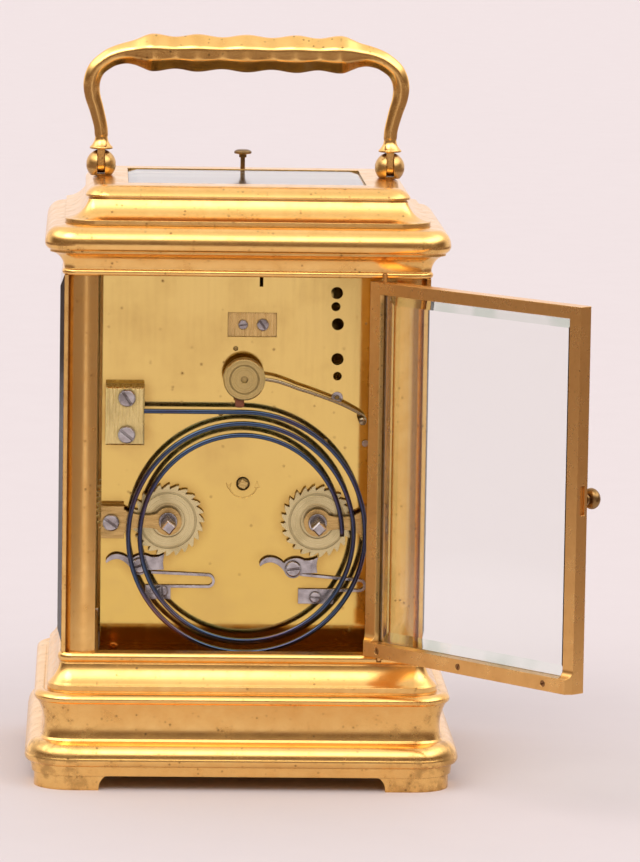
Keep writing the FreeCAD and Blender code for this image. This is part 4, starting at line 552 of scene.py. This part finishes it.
def along(stations, steps):
    """Smooth values through stations by Catmull-Rom, steps between each pair."""
    ends = [tuple(2 * a - b for a, b in zip(stations[0], stations[1]))]
    tail = [tuple(2 * a - b for a, b in zip(stations[-1], stations[-2]))]
    padded = ends + list(stations) + tail
    result = []
    for i in range(1, len(padded) - 2):
        before, start, end, after = padded[i - 1:i + 3]
        for k in range(steps):
            t = k / steps
            result.append(tuple(
                0.5 * (2 * q + (r - p) * t + (2 * p - 5 * q + 4 * r - s) * t * t
                       + (3 * q - p - 3 * r + s) * t ** 3)
                for p, q, r, s in zip(before, start, end, after)))
    return result + [tuple(stations[-1])]


def squared_circle(count, power):
    """Directions round a circle whose sides are flattened: the lower the power, the squarer it is."""
    turns = [2 * math.pi * j / count for j in range(count)]
    return [(math.copysign(abs(math.cos(t)) ** power, math.cos(t)),
             math.copysign(abs(math.sin(t)) ** power, math.sin(t))) for t in turns]


# ================================================================ handle
def grip_half(x):
    """Half-thickness of the grip at x: it swells at the lobes and draws in at the waists."""
    knots = sorted([(at, LOBE_HALF) for at in LOBE_X] + [(at, WAIST_HALF) for at in WAIST_X])
    for (x0, h0), (x1, h1) in zip(knots, knots[1:]):
        if x <= x1:
            return h0 + (h1 - h0) * (1 - math.cos(math.pi * (x - x0) / (x1 - x0))) / 2
    return LOBE_HALF


def eight_sided(centre, across, half, crisp):
    """Ring of an eight-sided bar: across is the in-plane direction of its thickness, crisp its edges."""
    ring, count = [], 64
    for j in range(count):
        turn = 2 * math.pi * (j + 0.5) / count
        total = 0.0
        for k in range(8):
            reach = math.cos(turn - k * math.pi / 4) / (1.0 if k % 2 == 0 else BEVEL_OF_GRIP)
            total += max(reach, 0.0) ** crisp
        r = half * total ** (-1.0 / crisp)
        u, v = r * math.cos(turn), r * math.sin(turn)
        ring.append((centre[0] + u * across[0], v, centre[1] + u * across[1]))
    return ring


def half_handle():
    """Stations of the right half, from the middle of the grip to the foot of the bell."""
    steps, bell_steps = 8, 4
    places = [k * GRIP_STEP for k in range(int(GRIP_END / GRIP_STEP) + 1)]
    grip = [(x, GRIP_Z, grip_half(x), GRIP_CRISP) for x in places]
    neck = along([grip[-4], grip[-1]] + list(NECK), steps)[steps + 1:]
    bell = along((NECK[-1][:3],) + BELL, bell_steps)[1:]
    return grip + neck + [(x, z, r, BELL_CRISP) for x, z, r in bell]


def handle(material):
    """Lobed eight-sided grip that runs on through two swan necks into bell-mouthed collars."""
    half = half_handle()
    stations = [(-x, z, h, c) for x, z, h, c in reversed(half[1:])] + half
    rings = []
    for i, (x, z, h, crisp) in enumerate(stations):
        before, after = stations[max(i - 1, 0)], stations[min(i + 1, len(stations) - 1)]
        run = Vector((after[0] - before[0], after[1] - before[1])).normalized()
        if abs(abs(x) - POST_X) < 1e-6:
            run = Vector((0.0, -1.0 if x > 0 else 1.0))
        rings.append(eight_sided((x, z), (-run[1], run[0]), h, crisp))
    bar = piece("handle_bar", *tube(rings), "handle", "gilt_case", material)
    tongues = piece("handle_tongues", *joined([tongue(side * POST_X) for side in (-1, 1)]),
                    "handle", "gilt_case", material, smooth=False)
    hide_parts("handle")
    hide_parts("handle")


def tongue(x):
    """Flat tongue that turns in the slot of a ball: round below, straight above, bored for the pin."""
    top = BELL[-1][1] - POST_Z + TONGUE_LAP
    count = 64
    outer = []
    for j in range(count):
        turn = 2 * math.pi * j / count
        c, s = math.cos(turn), math.sin(turn)
        r = TONGUE_R if s < 0 else min(TONGUE_R / max(abs(c), 1e-6), top / max(s, 1e-6))
        outer.append((r * c, r * s))
    rings = []
    for shift, shrink in ((-TONGUE_HALF, TONGUE_EASING), (-TONGUE_HALF + TONGUE_EASING, 0.0),
                          (TONGUE_HALF - TONGUE_EASING, 0.0), (TONGUE_HALF, TONGUE_EASING)):
        scale = 1.0 - shrink / TONGUE_R
        rings.append([(x + shift, y * scale, POST_Z + z * scale) for y, z in outer])
    for shift in (TONGUE_HALF, -TONGUE_HALF):
        rings.append([(x + shift, TONGUE_HOLE * math.cos(2 * math.pi * j / count),
                       POST_Z + TONGUE_HOLE * math.sin(2 * math.pi * j / count)) for j in range(count)])
    points = [p for ring in rings for p in ring]
    faces = []
    for i in range(len(rings)):
        following = (i + 1) % len(rings)
        for j in range(count):
            k = (j + 1) % count
            faces.append((i * count + j, following * count + j, following * count + k, i * count + k))
    return points, faces


# ================================================================ gong, hammer and mask
def gong(material):
    """Rounded blue strip: a straight run out of its block, then two and a quarter turns inwards."""
    lo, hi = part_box("gong_coil")
    start_x, y = lo.x / MM, (lo.y + hi.y) / 2 / MM
    cx, cz = GONG_CENTRE
    steps, run_steps, count = 96, 12, 20
    path = [(start_x + (cx - start_x) * k / run_steps, cz + GONG_R, 0.0) for k in range(run_steps)]
    for k in range(int(GONG_TURNS * steps) + 1):
        turn = k / steps
        r, angle = GONG_R - GONG_PITCH * turn, 0.5 * math.pi - 2 * math.pi * turn
        path.append((cx + r * math.cos(angle), cz + r * math.sin(angle), 0.5 * math.pi - angle))
    rings = []
    for x, z, lean in path:
        out = (math.sin(lean), math.cos(lean))
        ring = []
        for c, s in squared_circle(count, STRIP_SQUARENESS):
            u, v = 0.5 * GONG_WIDE * c, 0.5 * GONG_DEEP * s
            ring.append((x + u * out[0], y + v, z + u * out[1]))
        rings.append(ring)
    strip = piece("gong_strip", *tube(rings), "case", "blued_steel", material)
    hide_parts("gong_coil")


def hammer_leather(material):
    """Leather pad let into the hammer, its striking end rounded and slightly mushroomed."""
    lo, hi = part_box("hammer_pad")
    middle = (lo + hi) / 2 / MM
    half_x, half_y = (hi.x - lo.x) / 2 / MM, (hi.y - lo.y) / 2 / MM
    low, high = lo.z / MM - DATUM, hi.z / MM - DATUM
    # share of the height, share of the width
    rows = ((0.0, 0.35), (0.03, 0.70), (0.10, 0.90), (0.22, 1.0), (0.40, 0.97), (0.65, 0.92), (1.0, 0.92))
    rings = []
    for share, wide in rows:
        z = low + share * (high - low)
        rings.append([(middle.x + wide * half_x * c, middle.y + wide * half_y * s, z)
                      for c, s in squared_circle(24, PAD_SQUARENESS)])
    pad = piece("hammer_leather", *tube(rings), "hammer", "leather", material)
    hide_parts("hammer_pad")


def hammer_stem(material):
    """Thin drawn arm that runs from the hammer down towards the plate, with its collar and arbor."""
    rings = []
    stations = along(ARM, 6)
    arm_count, collar_count = 16, 32
    for i, (x, y, z) in enumerate(stations):
        before, after = stations[max(i - 1, 0)], stations[min(i + 1, len(stations) - 1)]
        run = Vector((after[0] - before[0], after[2] - before[2])).normalized()
        half = ARM_HALF - ARM_TAPER * i / len(stations)
        ring = []
        for j in range(arm_count):
            turn = 2 * math.pi * j / arm_count
            u, v = half * math.cos(turn), ARM_HALF_DEEP * math.sin(turn)
            ring.append((x - run[1] * u, y + v, z + run[0] * u))
        rings.append(ring)
    lo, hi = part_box("hammer_arm")
    back, front = lo.y / MM, hi.y / MM
    collar = []
    for y, r in [(back + rise, r) for rise, r in COLLAR] + [(front, ARBOR_R)]:
        collar.append([(HAMMER_PIVOT[0] + r * math.sin(2 * math.pi * j / collar_count), y,
                        HAMMER_PIVOT[1] + r * math.cos(2 * math.pi * j / collar_count))
                       for j in range(collar_count)])
    stem = piece("hammer_stem", *joined([tube(rings), tube(collar)]), "hammer", "steel", material)
    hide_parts("hammer_arm")


def mask_edges(material):
    """Narrow returned edges that close the dial mask against the front pillars."""
    lo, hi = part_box("dial_mask")
    pillar_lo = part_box("pillar_front_right")[0]
    inner, outer = hi.x / MM - MASK_OVERLAP, pillar_lo.x / MM - MASK_GAP
    y0, y1, z0, z1 = lo.y / MM, lo.y / MM + MASK_THICK, lo.z / MM - DATUM, hi.z / MM - DATUM
    parts = []
    for side in (-1, 1):
        outline = ((inner, y0), (outer - MASK_EASING, y0), (outer, y0 + MASK_EASING), (outer, y1),
                   (inner, y1))
        if side < 0:
            outline = outline[::-1]
        parts.append(tube([[(side * x, y, z) for x, y in outline] for z in (z0, z1)]))
    piece("dial_mask_edges", *joined(parts), "case", "gilt_case", material, smooth=False)


# ================================================================ dial
def bar(a, b, wide):
    """Thin flat stroke between two points of the dial plane, as a box of (x, z, height) corners."""
    run = (Vector(b) - Vector(a)).normalized()
    side = Vector((-run[1], run[0])) * wide / 2
    corners = [Vector(a) + side, Vector(a) - side, Vector(b) - side, Vector(b) + side]
    points = [(c[0], c[1], h) for h in (0.0, INK_THICK) for c in corners]
    faces = [(3, 2, 1, 0), (4, 5, 6, 7), (0, 1, 5, 4), (1, 2, 6, 5), (2, 3, 7, 6), (3, 0, 4, 7)]
    return points, faces


def letter(kind, left):
    """Strokes of one Roman letter and how far it moves the pen on."""
    h = NUMERAL_TALL / 2
    thick, thin, serif = THICK_STROKE, THIN_STROKE, SERIF
    if kind == "I":
        strokes = [((left + 0.6, -h), (left + 0.6, h), thick)]
        strokes += [((left, z), (left + 1.2, z), serif) for z in (-h, h)]
        return strokes, 1.5
    if kind == "V":
        strokes = [((left + 0.5, h), (left + 1.6, -h), thick), ((left + 2.7, h), (left + 1.6, -h), thin)]
        strokes += [((left, h), (left + 1.1, h), serif), ((left + 2.3, h), (left + 3.1, h), serif)]
        return strokes, 3.4
    strokes = [((left + 0.5, h), (left + 2.7, -h), thick), ((left + 2.7, h), (left + 0.5, -h), thin)]
    strokes += [((left + x, z), (left + x + 1.0, z), serif) for x in (0.0, 2.2) for z in (-h, h)]
    return strokes, 3.5


def dial_print(material):
    """Twelve Roman numerals round the hour ring and a minute track outside them."""
    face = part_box("dial_plate")[1].y / MM
    lo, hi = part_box("hour_wheel")
    cx, cz = (lo.x + hi.x) / 2 / MM, (lo.z + hi.z) / 2 / MM - DATUM

    def placed(shape):
        """From the dial's own plane, seen from the front, to the frame."""
        points, faces = shape
        return [(cx - u, face + h, cz + v) for u, v, h in points], faces

    numerals = []
    for hour, word in enumerate(NUMERALS):
        strokes, pen = [], 0.0
        for kind in word:
            more, ahead = letter(kind, pen)
            strokes += more
            pen += ahead
        lean = Matrix.Rotation(-hour * math.pi / 6, 2)
        shift = Vector((-(pen - 0.3) / 2, NUMERAL_R))
        for a, b, wide in strokes:
            numerals.append(placed(bar(lean @ (Vector(a) + shift), lean @ (Vector(b) + shift), wide)))
    piece("dial_numerals", *joined(numerals), "case", "enamel", material, smooth=False)
    track = []
    for minute in range(60):
        lean = Matrix.Rotation(-minute * math.pi / 30, 2)
        wide = FIVE_MINUTE_MARK if minute % 5 == 0 else MINUTE_MARK
        inner, outer = TRACK_R - TRACK_HALF, TRACK_R + TRACK_HALF
        track.append(placed(bar(lean @ Vector((0, inner)), lean @ Vector((0, outer)), wide)))
        following = Matrix.Rotation(-(minute + 1) * math.pi / 30, 2)
        for r in (inner, outer):
            track.append(placed(bar(lean @ Vector((0, r)), following @ Vector((0, r)), TRACK_LINE)))
    piece("dial_track", *joined(track), "case", "enamel", material, smooth=False)


# ================================================================ studio
BACKDROP = (0.87, 0.80, 0.81)
MIRRORED_ROOM, MIRRORED_BACKDROP = 1.6, 1.25    # how metal and glass mirror them, against the light they give


def staged_sheet(name, corners, material):
    """Flat four-cornered sheet that belongs to the studio."""
    mesh = bpy.data.meshes.new(name)
    mesh.from_pydata(corners, [], [(0, 1, 2, 3)])
    mesh.materials.append(material)
    made = bpy.data.objects.new(name, mesh)
    bpy.context.scene.collection.objects.link(made)
    return made


def felt():
    """Dark cloth at the sides of the table and beyond its far edge, thinning out to nothing in the middle."""
    s = Surface("studio_felt")
    split = s.node("ShaderNodeSeparateXYZ", Vector=s.place)
    x, y = s.math("ABSOLUTE", split.outputs[0], 0.0), split.outputs[1]
    behind = s.math("MAXIMUM", s.math("MULTIPLY", y, 0.3), 0.0)
    clear = s.math("ADD", behind, s.span(y, -0.30, -0.03, 0.08, 0.30))
    side = s.span(s.math("SUBTRACT", x, clear), -0.02, 0.05)
    ahead = s.span(y, -2.6, -1.5, 1.0, 0.0)
    weave = s.noise(900.0, detail=2.0)
    s.feed("Base Color", s.blend(weave, (0.16, 0.095, 0.07), (0.13, 0.075, 0.055)))
    s.feed("Roughness", 0.9)
    s.feed("Alpha", s.math("MULTIPLY", s.math("MAXIMUM", side, ahead), 0.93))
    return s.material


def room_light():
    """World: bright ceiling, dim brown walls at the sides and behind the camera, the pale backdrop beyond."""
    world = bpy.data.worlds.new("studio_world")
    bpy.context.scene.world = world
    world.use_nodes = True
    tree = world.node_tree
    tree.nodes.clear()

    def node(kind, *inputs):
        made = tree.nodes.new(kind)
        for socket, value in zip(made.inputs, inputs):
            if isinstance(value, bpy.types.NodeSocket):
                tree.links.new(value, socket)
            elif value is not None:
                socket.default_value = value
        return made

    split = node("ShaderNodeSeparateXYZ", node("ShaderNodeTexCoord").outputs["Generated"])
    ramp = node("ShaderNodeValToRGB", split.outputs["Z"])
    stops = ((0.0, (0.20, 0.145, 0.115)), (0.08, (0.10, 0.06, 0.042)), (0.22, (0.09, 0.053, 0.036)),
             (0.40, (0.42, 0.36, 0.32)), (0.56, (1.78, 1.74, 1.72)), (0.72, (1.78, 1.74, 1.72)),
             (0.88, (0.85, 0.80, 0.78)), (1.0, (0.62, 0.58, 0.56)))
    ramp.color_ramp.elements[0].position = stops[0][0]
    ramp.color_ramp.elements[1].position = stops[-1][0]
    for position, _ in stops[1:-1]:
        ramp.color_ramp.elements.new(position)
    for element, (_, colour) in zip(ramp.color_ramp.elements, stops):
        element.color = (*colour, 1.0)
    beyond = node("ShaderNodeMapRange", split.outputs["Y"], 0.10, 0.50, 0.0, 1.0).outputs["Result"]
    path = node("ShaderNodeLightPath")
    mirrored_by = path.outputs["Is Glossy Ray"]
    strong, mild = (node("ShaderNodeMapRange", mirrored_by, 0.0, 1.0, 1.0, most).outputs["Result"]
                    for most in (MIRRORED_ROOM, MIRRORED_BACKDROP))
    room = node("ShaderNodeBackground", ramp.outputs[0], strong)
    mirrored = node("ShaderNodeBackground", (*BACKDROP, 1.0), mild)
    backdrop = node("ShaderNodeBackground", (*BACKDROP, 1.0))
    lit = node("ShaderNodeMixShader", beyond, room.outputs[0], mirrored.outputs[0])
    straight = node("ShaderNodeMath", path.outputs["Is Camera Ray"], path.outputs["Is Transmission Ray"])
    straight.operation = "MAXIMUM"
    either = node("ShaderNodeMixShader", straight.outputs[0], lit.outputs[0], backdrop.outputs[0])
    node("ShaderNodeOutputWorld", either.outputs[0])


def studio():
    """Pale floor, dark cloth that only the metal mirrors, room light and two soft lamps."""
    reach = 9.0
    staged_sheet("studio_floor", [(x * reach, y * reach, 0) for x, y in ((-1, -1), (1, -1), (1, 1), (-1, 1))],
                 paper("studio_paper"))
    wide, near, far, lift = 4.0, -4.0, 1.2, 0.4 * MM
    cloth = staged_sheet("studio_felt", [(-wide, near, lift), (wide, near, lift), (wide, far, lift),
                                         (-wide, far, lift)], felt())
    cloth.visible_camera = cloth.visible_diffuse = cloth.visible_transmission = cloth.visible_shadow = False
    room_light()
    for name, strength, spread, heading, height in (("key", 0.75, 34, -35, 52), ("fill", 0.35, 50, 48, 40)):
        light = bpy.data.lights.new("studio_" + name, "SUN")
        light.energy = strength
        light.angle = math.radians(spread)
        light.color = (1.0, 0.97, 0.95)
        lamp = bpy.data.objects.new("studio_" + name, light)
        a, e = math.radians(heading), math.radians(height)
        toward = Vector((math.sin(a) * math.cos(e), -math.cos(a) * math.cos(e), math.sin(e)))
        lamp.rotation_mode = "QUATERNION"
        lamp.rotation_quaternion = toward.to_track_quat("Z", "Y")
        bpy.context.scene.collection.objects.link(lamp)


def camera():
    """The photographer's camera."""
    data = bpy.data.cameras.new("photo_camera")
    data.lens = LENS
    data.sensor_width = SENSOR
    data.clip_start, data.clip_end = 0.05, 50.0
    made = bpy.data.objects.new("photo_camera", data)
    yaw, pitch, roll = (math.radians(a) for a in (CAMERA_YAW, CAMERA_PITCH, CAMERA_ROLL))
    upright = Matrix.Rotation(-yaw, 4, "Z") @ Matrix.Rotation(math.pi / 2 - pitch, 4, "X")
    made.matrix_world = Matrix.Translation(CAMERA_AT) @ upright @ Matrix.Rotation(roll, 4, "Z")
    bpy.context.scene.collection.objects.link(made)
    bpy.context.scene.camera = made


slot_materials, own_materials = frame_materials()
dress_frame(slot_materials, own_materials)
# painted shade on the handle's downward faces
handle(gilt("handle_gilt", CASE_BRIGHT, CASE_DEEP, speckle=0.9, stain=0.7, underside_shade=0.85))
gong(blued("gong_blue", straw_near=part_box("gong_coil")[0]))
hammer_leather(slot_materials["leather"])
hammer_stem(grained("stem_steel", (0.42, 0.34, 0.22), (0.28, 0.22, 0.14), (1.0, 1.0, 1.0), rough=0.2))
mask_edges(slot_materials["gilt_case"])
dial_print(ink("numeral_ink"))
studio()
camera()
bpy.context.scene.view_settings.view_transform = "Standard"
